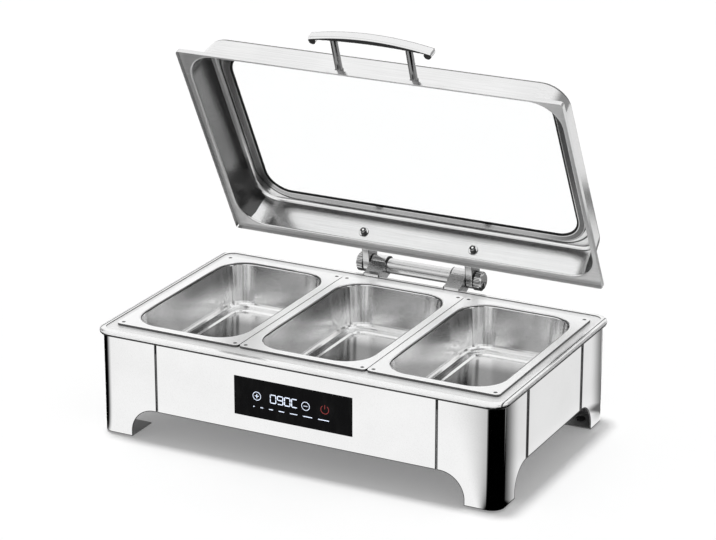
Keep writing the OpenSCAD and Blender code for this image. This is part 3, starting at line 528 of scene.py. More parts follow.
@dataclass(frozen=True)
class LidWall(LidSteel):
    """Brushed side wall of the lid with painted shade that darkens it towards the hinge."""

    shade_span: Limits = (0.055, 0.085)
    painted_shade: float = 0.75

    def mask(self, graph: Graph) -> Value:
        """The painted shade near the hinge."""
        return self.shut(graph)[1].ease(*self.shade_span, 0.0, self.painted_shade)


@dataclass(frozen=True)
class LidCover(LidSteel):
    """Brushed outside of the lid with a painted shade line along its top bend."""

    top: float = 0.1933
    bend: Fades = (0.0006, 0.0012, 0.0060, 0.0066)
    bend_depth: float = 0.85

    def mask(self, graph: Graph) -> Value:
        """The painted shade line on the bend below the top."""
        return self.bend_depth * (self.top - self.shut(graph)[2]).strip(self.bend)


@dataclass(frozen=True)
class LidSheet(LidSteel):
    """Brushed inside of the lid with painted shade on the stamped rings round its window."""

    half_w: float = 0.227
    half_d: float = 0.1225
    corner: float = 0.033
    window_edge: Limits = (0.0014, 0.0022)
    seat: Fades = (0.0022, 0.0034, 0.0090, 0.0100)
    seat_shade_by_x: Ramp = (0.16, 0.22, 0.45, 0.80)
    step: Fades = (0.0098, 0.0104, 0.0112, 0.0120)
    bend: Fades = (0.0166, 0.0176, 0.0186, 0.0200)
    bend_depth: float = 0.9

    def mask(self, graph: Graph) -> Value:
        """A dark band at the window's edge, painted grey shade on the seat that is darker at the
        right, and painted shade lines on the step and the bend.

        Args:
            graph: the material's tree.

        Returns:
            How dark the rings are.
        """
        x, y, _ = self.shut(graph)
        out_x = abs(x) - (self.half_w - self.corner)
        out_y = abs(y) - (self.half_d - self.corner)
        within = out_x.most(out_y).least(0.0)
        away = out_x.most(0.0).hypot(out_y.most(0.0)) + within - self.corner
        seat = x.ease(*self.seat_shade_by_x) * away.strip(self.seat)
        lines = away.strip(self.step).most(self.bend_depth * away.strip(self.bend))
        return seat.most(lines).most(away.fall(*self.window_edge))


@dataclass(frozen=True)
class TurnedSteel(BrushedSteel):
    """Turned steel of the hinge with a dark joint line at each end of its rings, painted shade on
    its underside and a painted grey reflection band.
    """

    joints: tuple[float, ...] = (0.0475, 0.0702, 0.0810)
    line: float = 0.0014
    under: Point = (-0.373, -0.928)
    shaded: Limits = (0.68, 0.86)
    reach: Ramp = (0.014, 0.020, 1.0, 0.3)
    band: Fades = (-0.10, 0.10, 0.30, 0.50)
    band_depth: float = 0.5

    def mask(self, graph: Graph) -> Value:
        """The joints, painted shade on the underside and a painted grey reflection band along the
        middle.

        Args:
            graph: the material's tree.

        Returns:
            How dark they are.
        """
        x, y, z = graph.axes(graph.place())
        near = reduce(Value.least, [abs(abs(x) - joint) for joint in self.joints])
        from_y, from_z = y - HINGE_Y * MM, z - HINGE_Z * MM
        away = from_y.hypot(from_z)
        # Painted shade on the side that faces under, fading away from the axis.
        down = (from_y * self.under[0] + from_z * self.under[1]) / away
        below = down.ease(*self.shaded) * away.ease(*self.reach)
        joint_line = near.fall(0.5 * self.line, self.line)
        return joint_line.most(below).most(self.band_depth * down.strip(self.band))


@dataclass(frozen=True)
class ClearGlass(Finish):
    """Toughened window glass with a trace of smear."""

    smears: Triple = (9.0, 30.0, 30.0)
    haze: float = 0.02

    def vary(self, graph: Graph) -> dict[str, Any]:
        """Faint smears in the gloss."""
        smear = graph.noise(graph.place(), self.smears, detail=3.0)
        return {"Roughness": self.roughness + self.haze * smear}


@dataclass(frozen=True)
class CoatedGlass(Finish):
    """Black back-painted glass with faint finger smears."""

    smears: Triple = (60.0, 60.0, 25.0)
    lift: float = 0.006
    tones: Limits = (0.45, 0.75)
    gloss: Ramp = (0.4, 0.8, 0.0, 0.10)

    def vary(self, graph: Graph) -> dict[str, Any]:
        """Smears in the gloss and the tone.

        Args:
            graph: the material's tree.

        Returns:
            Inputs of the shader by name.
        """
        smear = graph.noise(graph.place(), self.smears, detail=4.0, rough=0.6)
        lifted = self.tinted(1.0, self.lift)
        return {
            "Base Color": graph.mix(smear.ease(*self.tones), self.colour, lifted),
            "Roughness": self.roughness + smear.ease(*self.gloss),
        }


@dataclass(frozen=True)
class Moulded(Finish):
    """Moulded plastic or rubber with a fine sparked grain."""

    grain: float = 2600.0
    depth: float = 0.00003
    cloud_scale: float = 45.0
    gain: float = 1.18
    lift: float = 0.004
    tones: Limits = (0.35, 0.7)
    spread: float = 0.12

    def vary(self, graph: Graph) -> dict[str, Any]:
        """Sparked grain in relief, tone and gloss.

        Args:
            graph: the material's tree.

        Returns:
            Inputs of the shader by name.
        """
        at = graph.place()
        spark = graph.noise(at, self.grain)
        cloud = graph.noise(at, self.cloud_scale)
        tone = spark.blend(cloud, share=0.5).ease(*self.tones)
        return {
            "Base Color": graph.mix(tone, self.colour, self.tinted(self.gain, self.lift)),
            "Roughness": self.roughness + self.spread * (cloud - NOISE_MEAN),
            "Normal": graph.bump(spark, self.depth),
        }


@dataclass(frozen=True)
class Oxidised(Finish):
    """Metal with heat tint and blotches of oxide."""

    tint: Triple = (0.16, 0.10, 0.07)
    blotch_scale: float = 60.0
    sand_scale: float = 1500.0
    tones: Limits = (0.4, 0.65)
    spread: float = 0.25
    depth: float = 0.00002

    def vary(self, graph: Graph) -> dict[str, Any]:
        """Blotches in tone and gloss over a sanded relief.

        Args:
            graph: the material's tree.

        Returns:
            Inputs of the shader by name.
        """
        at = graph.place()
        blotch = graph.noise(at, self.blotch_scale, detail=5.0, rough=0.65)
        return {
            "Base Color": graph.mix(blotch.ease(*self.tones), self.colour, self.tint),
            "Roughness": self.roughness + self.spread * (blotch - NOISE_MEAN),
            "Normal": graph.bump(graph.noise(at, self.sand_scale), self.depth),
        }


@dataclass(frozen=True)
class Lacquered(Finish):
    """Circuit board lacquer with copper tracks showing through."""

    track: Triple = (0.05, 0.30, 0.12)
    track_scale: float = 90.0
    bends: float = 6.0
    edge: Limits = (0.55, 0.62)
    depth: float = 0.00003

    def vary(self, graph: Graph) -> dict[str, Any]:
        """Parallel tracks under the lacquer.

        Args:
            graph: the material's tree.

        Returns:
            Inputs of the shader by name.
        """
        settings = {"wave_type": "BANDS", "bands_direction": "Z"}
        inputs = {"Vector": graph.place(), "Scale": self.track_scale, "Distortion": self.bends,
                  "Detail": 1.0}
        lines = graph.node("ShaderNodeTexWave", settings, inputs, "Fac").ease(*self.edge)
        return {
            "Base Color": graph.mix(lines, self.colour, self.track),
            "Normal": graph.bump(lines, self.depth),
        }


@dataclass(frozen=True)
class Lit(Finish):
    """A printed mark lit from behind."""

    strength: float = 1.0
    uneven_scale: float = 220.0
    dimmest: float = 0.72
    tones: Limits = (0.35, 0.65)

    def vary(self, graph: Graph) -> dict[str, Any]:
        """Slightly uneven light from the lamp behind the mark.

        Args:
            graph: the material's tree.

        Returns:
            Inputs of the shader by name.
        """
        tone = graph.noise(graph.place(), self.uneven_scale, detail=1.0).ease(*self.tones)
        return {
            "Emission Color": graph.mix(tone, self.colour, self.tinted(self.dimmest)),
            "Emission Strength": self.strength,
        }


def grey(level: float) -> Triple:
    """A colour without a tint."""
    return level, level, level


class Finishes:
    """Every finish of the dish by its use."""

    PAN_LINES = (1200.0, 1200.0, 40.0)
    PAN_SHEEN = (("Anisotropic", 0.75), ("Anisotropic Rotation", 0.25))
    PANE = (("Transmission Weight", 1.0), ("IOR", 1.05))

    FRONT = WrappedSteel("polished_front", grey(0.94), 0.03, 1.0)
    SIDE = WrappedSteel("polished_side", grey(0.93), 0.03, 1.0, seam=0.0811, seam_half=0.0028,
                        line=0.0019)
    INNER = BrushedSteel("shaded_sheet", grey(0.34), 0.5, 0.2)
    # Painted shade for undersides, ring ends, flutes, bolt edges and the handle bar's lower side.
    SHADE_EDGE = BrushedSteel("painted_shade_edge", grey(0.03), 0.35, 0.8)
    RIM = RimSteel("polished_rim", grey(0.93), 0.10, 0.6)
    LEDGE = BrushedSteel("satin_ledge", grey(0.88), 0.38, 0.5, lines=(500.0, 900.0, 900.0))
    PAN = BrushedSteel("satin_pan", grey(0.97), 0.13, 1.0, PAN_SHEEN, lines=PAN_LINES)
    # The pans' left walls and floors are darker copies of the pan steel, with painted shade in a
    # strip.
    PAN_SIDE = PanSteel("satin_pan_side", grey(0.92), 0.14, 1.0, PAN_SHEEN, lines=PAN_LINES,
                        painted_shade=0.72, strips=((Axis.Z, (0.100, 0.134, 0.2, 0.3)),
                                             (Axis.Y, (-0.10, 0.05, 0.2, 0.3))))
    PAN_FLOOR = PanSteel("satin_pan_floor", grey(0.90), 0.12, 1.0, lines=(900.0, 40.0, 900.0),
                         painted_shade=0.70, strips=((Axis.Y, (-0.105, -0.060, 0.060, 0.105)),))
    FLANGE = PolishedSteel("bright_flange", grey(0.94), 0.26, 0.4)
    # Painted shade on the pans' turned-down edges, opening bend and corner dimples.
    FLANGE_SHADE = BrushedSteel("painted_flange_shade", grey(0.12), 0.35, 1.0)
    TURNED = TurnedSteel("turned_steel", grey(0.84), 0.15, 1.0, lines=(1600.0, 60.0, 60.0))
    # A darker copy of the hinge steel: painted shade on flat flanks, bracket foot tops and the
    # handle bar's top.
    HINGE_SIDE = BrushedSteel("hinge_side", grey(0.34), 0.26, 1.0)
    BOLT = BoltSteel("bright_bolt", grey(0.90), 0.16, 1.0)
    LID_OUT = LidCover("lid_outside", grey(0.90), 0.14, 1.0, spread=0.08)
    LID_IN = LidSheet("lid_inside", grey(0.92), 0.20, 1.0)
    # Side walls and the inner face of the lip are darker copies of the lid steel: painted shade.
    LID_SIDE = LidWall("lid_side_wall", grey(0.36), 0.24, 1.0)
    LID_BEND = LidSteel("lid_bend", grey(0.42), 0.22, 1.0)
    LID_LIP = LidSteel("lid_lip", grey(0.74), 0.24, 0.6)
    GLASS = ClearGlass("window_pane", (0.985, 0.99, 0.99), 0.0, constants=PANE)
    BRIGHT = PolishedSteel("polished_fitting", grey(0.88), 0.08, 1.0)
    POST = PolishedSteel("dark_post", grey(0.26), 0.08, 1.0)
    SCREW = PolishedSteel("bright_screw", (0.62, 0.62, 0.63), 0.22, 1.0)
    MILL = BrushedSteel("mill_sheet", (0.52, 0.52, 0.53), 0.36, 1.0)
    SPREADER = BrushedSteel("rolled_aluminium", (0.70, 0.70, 0.71), 0.34, 1.0)
    BRASS = BrushedSteel("turned_brass", (0.72, 0.52, 0.22), 0.25, 1.0)
    HEATER = Oxidised("heater_sheath", (0.15, 0.14, 0.13), 0.5, 0.8)
    RUBBER = Moulded("black_rubber", grey(0.012), 0.7)
    PLASTIC = Moulded("black_plastic", (0.022, 0.022, 0.023), 0.5)
    PALE = Moulded("pale_plastic", (0.70, 0.68, 0.62), 0.5)
    WIRE = Moulded("wire_insulation", (0.45, 0.10, 0.06), 0.45, grain=1200.0)
    BOARD = Lacquered("circuit_board", (0.02, 0.16, 0.07), 0.3)
    TOUCH = CoatedGlass("touch_glass", (0.0016, 0.0016, 0.002), 0.12,
                        constants=(("Specular IOR Level", 0.06),))
    DISPLAY = CoatedGlass("display_face", (0.02, 0.02, 0.024), 0.25)
    WHITE_MARK = Lit("lit_white", (0.62, 0.68, 0.80), 0.4)
    RED_MARK = Lit("lit_red", (0.17, 0.012, 0.010), 0.4)


def dress_faces(names: Iterable[str], finishes: Sequence[Finish], pick: Pick) -> None:
    """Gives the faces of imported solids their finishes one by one.

    Args:
        names: the solids' node names.
        finishes: the finishes to choose from.
        pick: the finish for a face's middle, in millimetres, and its normal.
    """
    order = {finish.name: number for number, finish in enumerate(finishes)}
    for name in names:
        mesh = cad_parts[name].data
        mesh.materials.clear()
        for finish in finishes:
            mesh.materials.append(finish.material())
        for face in mesh.polygons:
            face.material_index = order[pick(face.center / MM, face.normal).name]
        LOG.info("%s dressed in %s", name, ", ".join(order))


def dress(finish: Finish, *names: str) -> None:
    """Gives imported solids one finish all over."""
    dress_faces(names, (finish,), lambda at, normal: finish)


def linked(name: str, data: bpy.types.ID) -> bpy.types.Object:
    """Makes an object and puts it into the scene.

    Args:
        name: its name.
        data: its mesh, light or camera.

    Returns:
        The new object.
    """
    made = bpy.data.objects.new(name, data)
    bpy.context.scene.collection.objects.link(made)
    return made


def new_piece(name: str, mesh: Mesh, finish: Finish, body: Body) -> bpy.types.Object:
    """Makes a new piece from a mesh.

    Args:
        name: its name.
        mesh: the mesh, in metres in the part's frame; it is freed.
        finish: its finish.
        body: the body it moves with.

    Returns:
        The new object.
    """
    data = bpy.data.meshes.new(name)
    bmesh.ops.recalc_face_normals(mesh, faces=mesh.faces)
    mesh.to_mesh(data)
    mesh.free()
    data.materials.append(finish.material())
    made = linked(name, data)
    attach(made, body.value)
    LOG.info("%s built with %d faces", name, len(data.polygons))
    return made


@dataclass
class ControlFace:
    """The touch control: black glass with lit marks, and what lies behind it."""

    face_y: float = -165.4
    proud: float = 0.05
    plus_at: Point = (-50.0, 92.0)
    minus_at: Point = (18.0, 91.3)
    power_at: Point = (44.5, 91.6)
    ring_r: float = 5.4
    stroke: float = 0.8
    sign_half: float = 2.6
    power_arc: Limits = (125.0, 415.0)
    power_low: float = 1.0
    power_over: float = 0.6
    reading: str = "090C"
    digits_left: float = -31.0
    digits_low: float = 86.7
    digit_w: float = 7.6
    digit_h: float = 10.6
    digit_pitch: float = 9.9
    digit_stroke: float = 1.3
    digit_gap: float = 0.62
    scale_z: float = 77.6
    scale_ends: Limits = (-55.0, 50.0)
    scale_stroke: float = 1.1
    scale_steps: tuple[float, ...] = (1.6, 3.2, 5.0, 7.0, 9.5, 12.0, 14.5)

    SEGMENTS = {"0": "abcdef", "9": "abcdfg", "C": "adef"}

    def build(self) -> None:
        """Dresses the solids and draws each group of lit marks as a thin printed layer."""
        dress(Finishes.TOUCH, "control_glass")
        dress(Finishes.PLASTIC, "control_housing")
        dress(Finishes.BOARD, "control_board")
        dress(Finishes.DISPLAY, "display_module")
        for name, draw, finish in (
            ("mark_plus", self._plus, Finishes.WHITE_MARK),
            ("mark_minus", self._minus, Finishes.WHITE_MARK),
            ("mark_digits", self._digits, Finishes.WHITE_MARK),
            ("mark_scale", self._scale, Finishes.WHITE_MARK),
            ("mark_power", self._power, Finishes.RED_MARK),
        ):
            mesh = bmesh.new()
            draw(mesh)
            new_piece(name, mesh, finish, Body.BASE)

    def _plate(self, mesh: Mesh, outline: Sequence[Point]) -> None:
        """Adds a closed plate on the glass.

        Args:
            mesh: where it goes.
            outline: its corners as x and z.
        """
        front, back = ([mesh.verts.new((x * MM, y * MM, z * MM)) for x, z in outline]
                       for y in (self.face_y - self.proud, self.face_y))
        mesh.faces.new(front)
        mesh.faces.new(back[::-1])
        for i in range(len(outline)):
            j = (i + 1) % len(outline)
            mesh.faces.new((front[j], front[i], back[i], back[j]))

    def _bar(self, mesh: Mesh, start: Point, end: Point, width: float) -> None:
        """Adds a straight bar with pointed ends.

        Args:
            mesh: where it goes.
            start: one end, without the point.
            end: the other end.
            width: of the bar.
        """
        a, b = Vector(start), Vector(end)
        tip = (b - a).normalized() * width / 2
        across = Vector((-tip.y, tip.x))
        points = [a - tip, a + across, b + across, b + tip, b - across, a - across]
        self._plate(mesh, [(p.x, p.y) for p in points])

    def _arc(self, mesh: Mesh, centre: Point, start: float = 0.0, end: float = 360.0,
             steps: int = 40) -> None:
        """Adds a key's ring or a part of one, as short plates.

        Args:
            mesh: where it goes.
            centre: its centre.
            start: first angle in degrees.
            end: last angle in degrees.
            steps: number of plates.
        """
        outer, inner = self.ring_r + self.stroke / 2, self.ring_r - self.stroke / 2
        for i in range(steps):
            a, b = (math.radians(start + (end - start) * k / steps) for k in (i, i + 1))
            self._plate(mesh, [(centre[0] + r * math.cos(t), centre[1] + r * math.sin(t))
                               for r, t in ((outer, a), (outer, b), (inner, b), (inner, a))])

    def _plus(self, mesh: Mesh) -> None:
        """Draws the key that raises the setting.

        Args:
            mesh: where it goes.
        """
        x, z = self.plus_at
        self._arc(mesh, self.plus_at)
        self._bar(mesh, (x - self.sign_half, z), (x + self.sign_half, z), self.stroke)
        self._bar(mesh, (x, z - self.sign_half), (x, z + self.sign_half), self.stroke)

    def _minus(self, mesh: Mesh) -> None:
        """Draws the key that lowers the setting.

        Args:
            mesh: where it goes.
        """
        x, z = self.minus_at
        self._arc(mesh, self.minus_at)
        self._bar(mesh, (x - self.sign_half, z), (x + self.sign_half, z), self.stroke)

    def _power(self, mesh: Mesh) -> None:
        """Draws the power key.

        Args:
            mesh: where it goes.
        """
        x, z = self.power_at
        high = z + self.ring_r + self.power_over
        self._arc(mesh, self.power_at, *self.power_arc)
        self._bar(mesh, (x, z + self.power_low), (x, high), self.stroke)

    def _digits(self, mesh: Mesh) -> None:
        """Draws the seven-segment reading.

        Args:
            mesh: where it goes.
        """
        gap = self.digit_stroke * self.digit_gap
        low, top = self.digits_low, self.digits_low + self.digit_h
        half = low + self.digit_h / 2
        for place, sign in enumerate(self.reading):
            left = self.digits_left + place * self.digit_pitch
            right = left + self.digit_w
            ends = {letter: ((left + gap, z), (right - gap, z))
                    for letter, z in (("a", top), ("g", half), ("d", low))}
            for upper, lower, x in (("f", "e", left), ("b", "c", right)):
                ends[upper] = (x, half + gap), (x, top - gap)
                ends[lower] = (x, low + gap), (x, half - gap)
            for letter in self.SEGMENTS[sign]:
                self._bar(mesh, *ends[letter], self.digit_stroke)

    def _scale(self, mesh: Mesh) -> None:
        """Draws the row of heat steps, each longer than the one before.

        Args:
            mesh: where it goes.
        """
        x, end = self.scale_ends
        gap = (end - x - sum(self.scale_steps)) / (len(self.scale_steps) - 1)
        for length in self.scale_steps:
            self._bar(mesh, (x, self.scale_z), (x + length, self.scale_z), self.scale_stroke)
            x += length + gap


@dataclass
class Housing:
    """The base: wrapped legs, panels, top frame, feet and the floor plate."""

    sheets: tuple[str, ...] = (
        "front_panel", "back_panel", "left_panel", "right_panel",
        "leg_front_left", "leg_front_right", "leg_back_left", "leg_back_right",
    )
    half_w: float = 278.0
    half_d: float = 165.0
    corner_r: float = 17.0
    skin: float = 0.4
    panel_top: float = 134.0
    ledge_z: float = 141.0
    ledge_half: Point = (275.5, 162.5)
    under_roll: float = -0.1
    under_side: float = 0.05

    def build(self) -> None:
        """Dresses the base's solids."""
        dress_faces(self.sheets, (Finishes.FRONT, Finishes.SIDE, Finishes.INNER), self._sheet_face)
        dress_faces(["top_frame"], (Finishes.RIM, Finishes.LEDGE, Finishes.SHADE_EDGE), self._rim_face)
        dress(Finishes.RUBBER, "rubber_feet")
        dress(Finishes.MILL, "bottom_plate")
        dress(Finishes.SCREW, "bottom_screws", "bracket_screws")

    def _sheet_face(self, at: Vector, normal: Vector) -> Finish:
        """Picks polished front, polished side or shaded inner sheet for a panel or leg.

        Args:
            at: the face's middle.
            normal: its normal.

        Returns:
            Its finish.
        """
        out_x = abs(at.x) - self.half_w + self.corner_r
        out_y = abs(at.y) - self.half_d + self.corner_r
        within = min(max(out_x, out_y), 0.0)
        depth = math.hypot(max(out_x, 0.0), max(out_y, 0.0)) + within - self.corner_r
        if depth < -self.skin or abs(normal.z) > LEANING:
            return Finishes.INNER
        return Finishes.FRONT if abs(normal.y) >= abs(normal.x) else Finishes.SIDE

    def _rim_face(self, at: Vector, normal: Vector) -> Finish:
        """Picks polished roll, satin ledge or a dark edge of painted shade for the top frame.

        Args:
            at: the face's middle.
            normal: its normal.

        Returns:
            Its finish.
        """
        inside = abs(at.x) < self.ledge_half[0] and abs(at.y) < self.ledge_half[1]
        side = abs(normal.x) > LEANING and not inside
        # Faces below the panels' top, the ledge's inner uprights and the roll's underside get
        # painted shade.
        if at.z < self.panel_top + SLACK or inside and normal.z < LEANING:
            return Finishes.SHADE_EDGE
        if normal.z < (self.under_side if side else self.under_roll):
            return Finishes.SHADE_EDGE
        return Finishes.LEDGE if inside and at.z < self.ledge_z + SLACK else Finishes.RIM


@dataclass
class Pans:
    """The three food pans over the water pan."""

    food: tuple[str, ...] = ("food_pan_left", "food_pan_middle", "food_pan_right")
    pitch: float = 177.2
    half_w: float = 88.0
    half_d: float = 143.5
    top: float = 144.0
    ledge_z: float = 141.0
    rim_in: float = 2.0
    flat_h: float = 0.02
    dimple_h: float = 0.6
    dimple_in: float = 12.0
    bend_h: float = 2.0
    bend_up: Limits = (0.4, 0.8)
    under: float = -0.05
    left_wall: float = 0.8

    def build(self) -> None:
        """Dresses the pans."""
        finishes = (Finishes.PAN, Finishes.FLANGE, Finishes.FLANGE_SHADE, Finishes.MILL,
                    Finishes.PAN_SIDE, Finishes.PAN_FLOOR)
        for name, place in zip(self.food, (-1, 0, 1)):
            dress_faces([name], finishes, lambda at, normal, middle=place * self.pitch:
                        self._face(at, normal, middle))
        dress(Finishes.MILL, "water_pan")

    def _face(self, at: Vector, normal: Vector, middle: float) -> Finish:
        """Picks satin wall or floor, bright flange, dark edge of painted shade or plain underside
        for a pan.

        Args:
            at: the face's middle.
            normal: its normal.
            middle: x of the pan's middle.

        Returns:
            Its finish.
        """
        from_x, from_y = self.half_w - abs(at.x - middle), self.half_d - abs(at.y)
        upright = abs(normal.z) < LEANING and at.z > self.ledge_z - SLACK
        # Turned-down edges, corner dimples and the opening bend get painted shade.
        if min(from_x, from_y) < self.rim_in and upright:
            return Finishes.FLANGE_SHADE
        if at.z > self.top - self.flat_h and normal.z > SQUARE:
            return Finishes.FLANGE
        corner = max(from_x, from_y) < self.dimple_in
        if corner and normal.z > LEANING and at.z > self.top - self.dimple_h:
            return Finishes.FLANGE_SHADE
        if normal.z < self.under:
            return Finishes.MILL
        if at.z > self.top - self.bend_h and self.bend_up[0] < normal.z < self.bend_up[1]:
            return Finishes.FLANGE_SHADE
        # Floors and left walls take the darker copies with painted shade.
        if normal.z > SQUARE:
            return Finishes.PAN_FLOOR
        return Finishes.PAN_SIDE if normal.x > self.left_wall else Finishes.PAN


@dataclass
class Works:
    """Heater, sensors, wires and the mains inlet."""

    def build(self) -> None:
        """Dresses the working pieces."""
        dress(Finishes.SPREADER, "heat_spreader")
        dress(Finishes.HEATER, "heating_element")
        dress(Finishes.MILL, "heater_clamps", "temperature_probe")
        dress(Finishes.PALE, "thermal_cutout")
        dress(Finishes.PLASTIC, "power_inlet")
        dress(Finishes.BRASS, "inlet_pins")
        dress(Finishes.SCREW, "inlet_screws")
        dress(Finishes.WIRE, "mains_wire", "heater_wires", "sensor_wire")


@dataclass
class Hinge:
    """Brackets, barrel, shaft, arms and end caps."""

    ring_r: float = 13.0
    ring_out: float = 0.3
    foot_up: float = 0.3
    flute_r: float = 11.6
    flute_round: float = 0.95
    bolt_facing: Point = (-0.4, 0.7)

    def build(self) -> None:
        """Dresses the hinge."""
        turned = (Finishes.TURNED, Finishes.SHADE_EDGE, Finishes.HINGE_SIDE)
        dress_faces(["hinge_barrel", "hinge_arm_left", "hinge_arm_right", "hinge_shaft"], turned,
                    self._turned_face)
        dress_faces(["hinge_bracket_left", "hinge_bracket_right"], turned, self._bracket_face)
        dress_faces(["end_cap_left", "end_cap_right"], turned, self._cap_face)
        dress(Finishes.BRASS, "hinge_bushes")
        dress(Finishes.PALE, "friction_sleeve")
        dress_faces(["arm_bolts", "arm_washers"], (Finishes.BOLT, Finishes.SHADE_EDGE), self._bolt_face)

    @staticmethod
    def _spoke(at: Vector) -> Vector:
        """The way from the hinge's axis to a point."""
        return Vector((0.0, at.y - HINGE_Y, at.z - HINGE_Z))

    def _turned_face(self, at: Vector, normal: Vector) -> Finish:
        """Picks turned steel, painted shade for a ring's end or a painted shaded side for a flat
        flank.

        Args:
            at: the face's middle.
            normal: its normal.

        Returns:
            Its finish.
        """
        if abs(normal.x) < SQUARE:
            return Finishes.TURNED
        return Finishes.SHADE_EDGE if self._spoke(at).length < self.ring_r else Finishes.HINGE_SIDE

    def _bracket_face(self, at: Vector, normal: Vector) -> Finish:
        """Picks a painted shaded side for the top of a bracket's foot, or else as for a turned
        face.
        """
        foot = self._spoke(at).length > self.ring_r + self.ring_out and normal.z > self.foot_up
        return Finishes.HINGE_SIDE if foot else self._turned_face(at, normal)

    def _cap_face(self, at: Vector, normal: Vector) -> Finish:
        """Picks turned steel, or painted shade for the flutes and the inner end of a cap.

        Args:
            at: the face's middle.
            normal: its normal.

        Returns:
            Its finish.
        """
        spoke = self._spoke(at)
        end = normal.x * at.x < 0 and abs(normal.x) > SQUARE
        flute = (spoke.length > self.flute_r and abs(normal.x) < LEANING
                 and normal.dot(spoke.normalized()) < self.flute_round)
        return Finishes.SHADE_EDGE if end or flute else Finishes.TURNED

    def _bolt_face(self, at: Vector, normal: Vector) -> Finish:
        """Picks bright steel for the flat faces of a bolt or washer, and painted shade on the edges
        beside.
        """
        flat = normal.y < self.bolt_facing[0] and normal.z > self.bolt_facing[1]
        return Finishes.BOLT if flat else Finishes.SHADE_EDGE


@dataclass
class Lid:
    """Drawn lid shell, window glass, gasket and the arched handle."""

    low: float = 141.3
    lip_h: float = 6.0
    lip_under: float = 1.0
    flange_over: float = 0.3
    half_w: float = 268.0
    half_d: float = 160.5
    wall_lean: float = 0.3
    side_wall: float = 0.6
    bar_under: Point = (-0.7, -0.2)
    bar_top: float = 0.94
    pieces: tuple[str, ...] = (
        "lid_shell", "lid_glass", "glass_gasket", "handle_bar", "handle_post_left",
        "handle_post_right", "handle_screws",
    )

    def build(self) -> None:
        """Dresses the lid, and keeps its shadow off the base and the floor."""
        dress_faces(["lid_shell"], (Finishes.LID_OUT, Finishes.LID_IN, Finishes.LID_LIP,
                                    Finishes.LID_BEND, Finishes.LID_SIDE), self._shell_face)
        dress(Finishes.GLASS, "lid_glass")
        dress(Finishes.RUBBER, "glass_gasket")
        dress_faces(["handle_bar"], (Finishes.BRIGHT, Finishes.SHADE_EDGE, Finishes.HINGE_SIDE),
                    self._bar_face)
        dress(Finishes.POST, "handle_post_left", "handle_post_right")
        dress(Finishes.SCREW, "handle_screws")
        for name in self.pieces:
            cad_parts[name].visible_shadow = False

    def _bar_face(self, at: Vector, normal: Vector) -> Finish:
        """Picks bright steel, painted shade on the lower side or a painted shaded top edge for the
        handle bar.

        Args:
            at: the face's middle; not used.
            normal: its normal.

        Returns:
            Its finish.
        """
        if normal.y < self.bar_under[0] and normal.z < self.bar_under[1]:
            return Finishes.SHADE_EDGE
        return Finishes.HINGE_SIDE if normal.z > self.bar_top else Finishes.BRIGHT

    def _shell_face(self, at: Vector, normal: Vector) -> Finish:
        """Picks outside, inside, lip, bend or side wall for the shell, as if it were closed; bend
        and side wall are darker copies, painted shade.

        Args:
            at: the face's middle.
            normal: its normal.

        Returns:
            Its finish.
        """
        shut = Matrix.Rotation(math.radians(LID_OPEN), 3, "X")
        axis = Vector((0.0, HINGE_Y, HINGE_Z))
        place = shut @ (at - axis) + axis
        facing = shut @ normal
        height = place.z - self.low
        outward = facing.x * place.x / self.half_w + facing.y * place.y / self.half_d
        if height < self.lip_h - self.lip_under and abs(facing.z) < LEANING:
            return Finishes.LID_OUT if outward > 0 else Finishes.LID_BEND
        if height < self.lip_h + self.flange_over and facing.z < -LEANING:
            return Finishes.LID_LIP
        if facing.z < -self.wall_lean or outward < 0 and facing.z < self.wall_lean:
            return Finishes.LID_SIDE if abs(facing.x) > self.side_wall else Finishes.LID_IN
        return Finishes.LID_OUT


@dataclass(frozen=True)
class Patch:
    """A dark place that metal shows, where strips along two ways and across a third overlap."""

    depth: float
    along_x: Fades
    along_y: Fades
    across: Fades | None = None
    way: Point = (0.0, 0.0)
    start: Point = (0.0, 0.0)

    def shade(self, x: Value, y: Value) -> Value:
        """Its shade at a place.

        Args:
            x: the place's first number.
            y: its second number.

        Returns:
            0 outside the patch, its depth within.
        """
        shade = self.depth * x.strip(self.along_x) * y.strip(self.along_y)
        if self.across is None:
            return shade
        over = self.way[0] * (x - self.start[0]) + self.way[1] * (y - self.start[1])
        return shade * over.strip(self.across)


def darkest(patches: Iterable[Patch], x: Value, y: Value) -> Value:
    """Shade of the darkest of some patches at a place."""
    return reduce(Value.most, [patch.shade(x, y) for patch in patches])


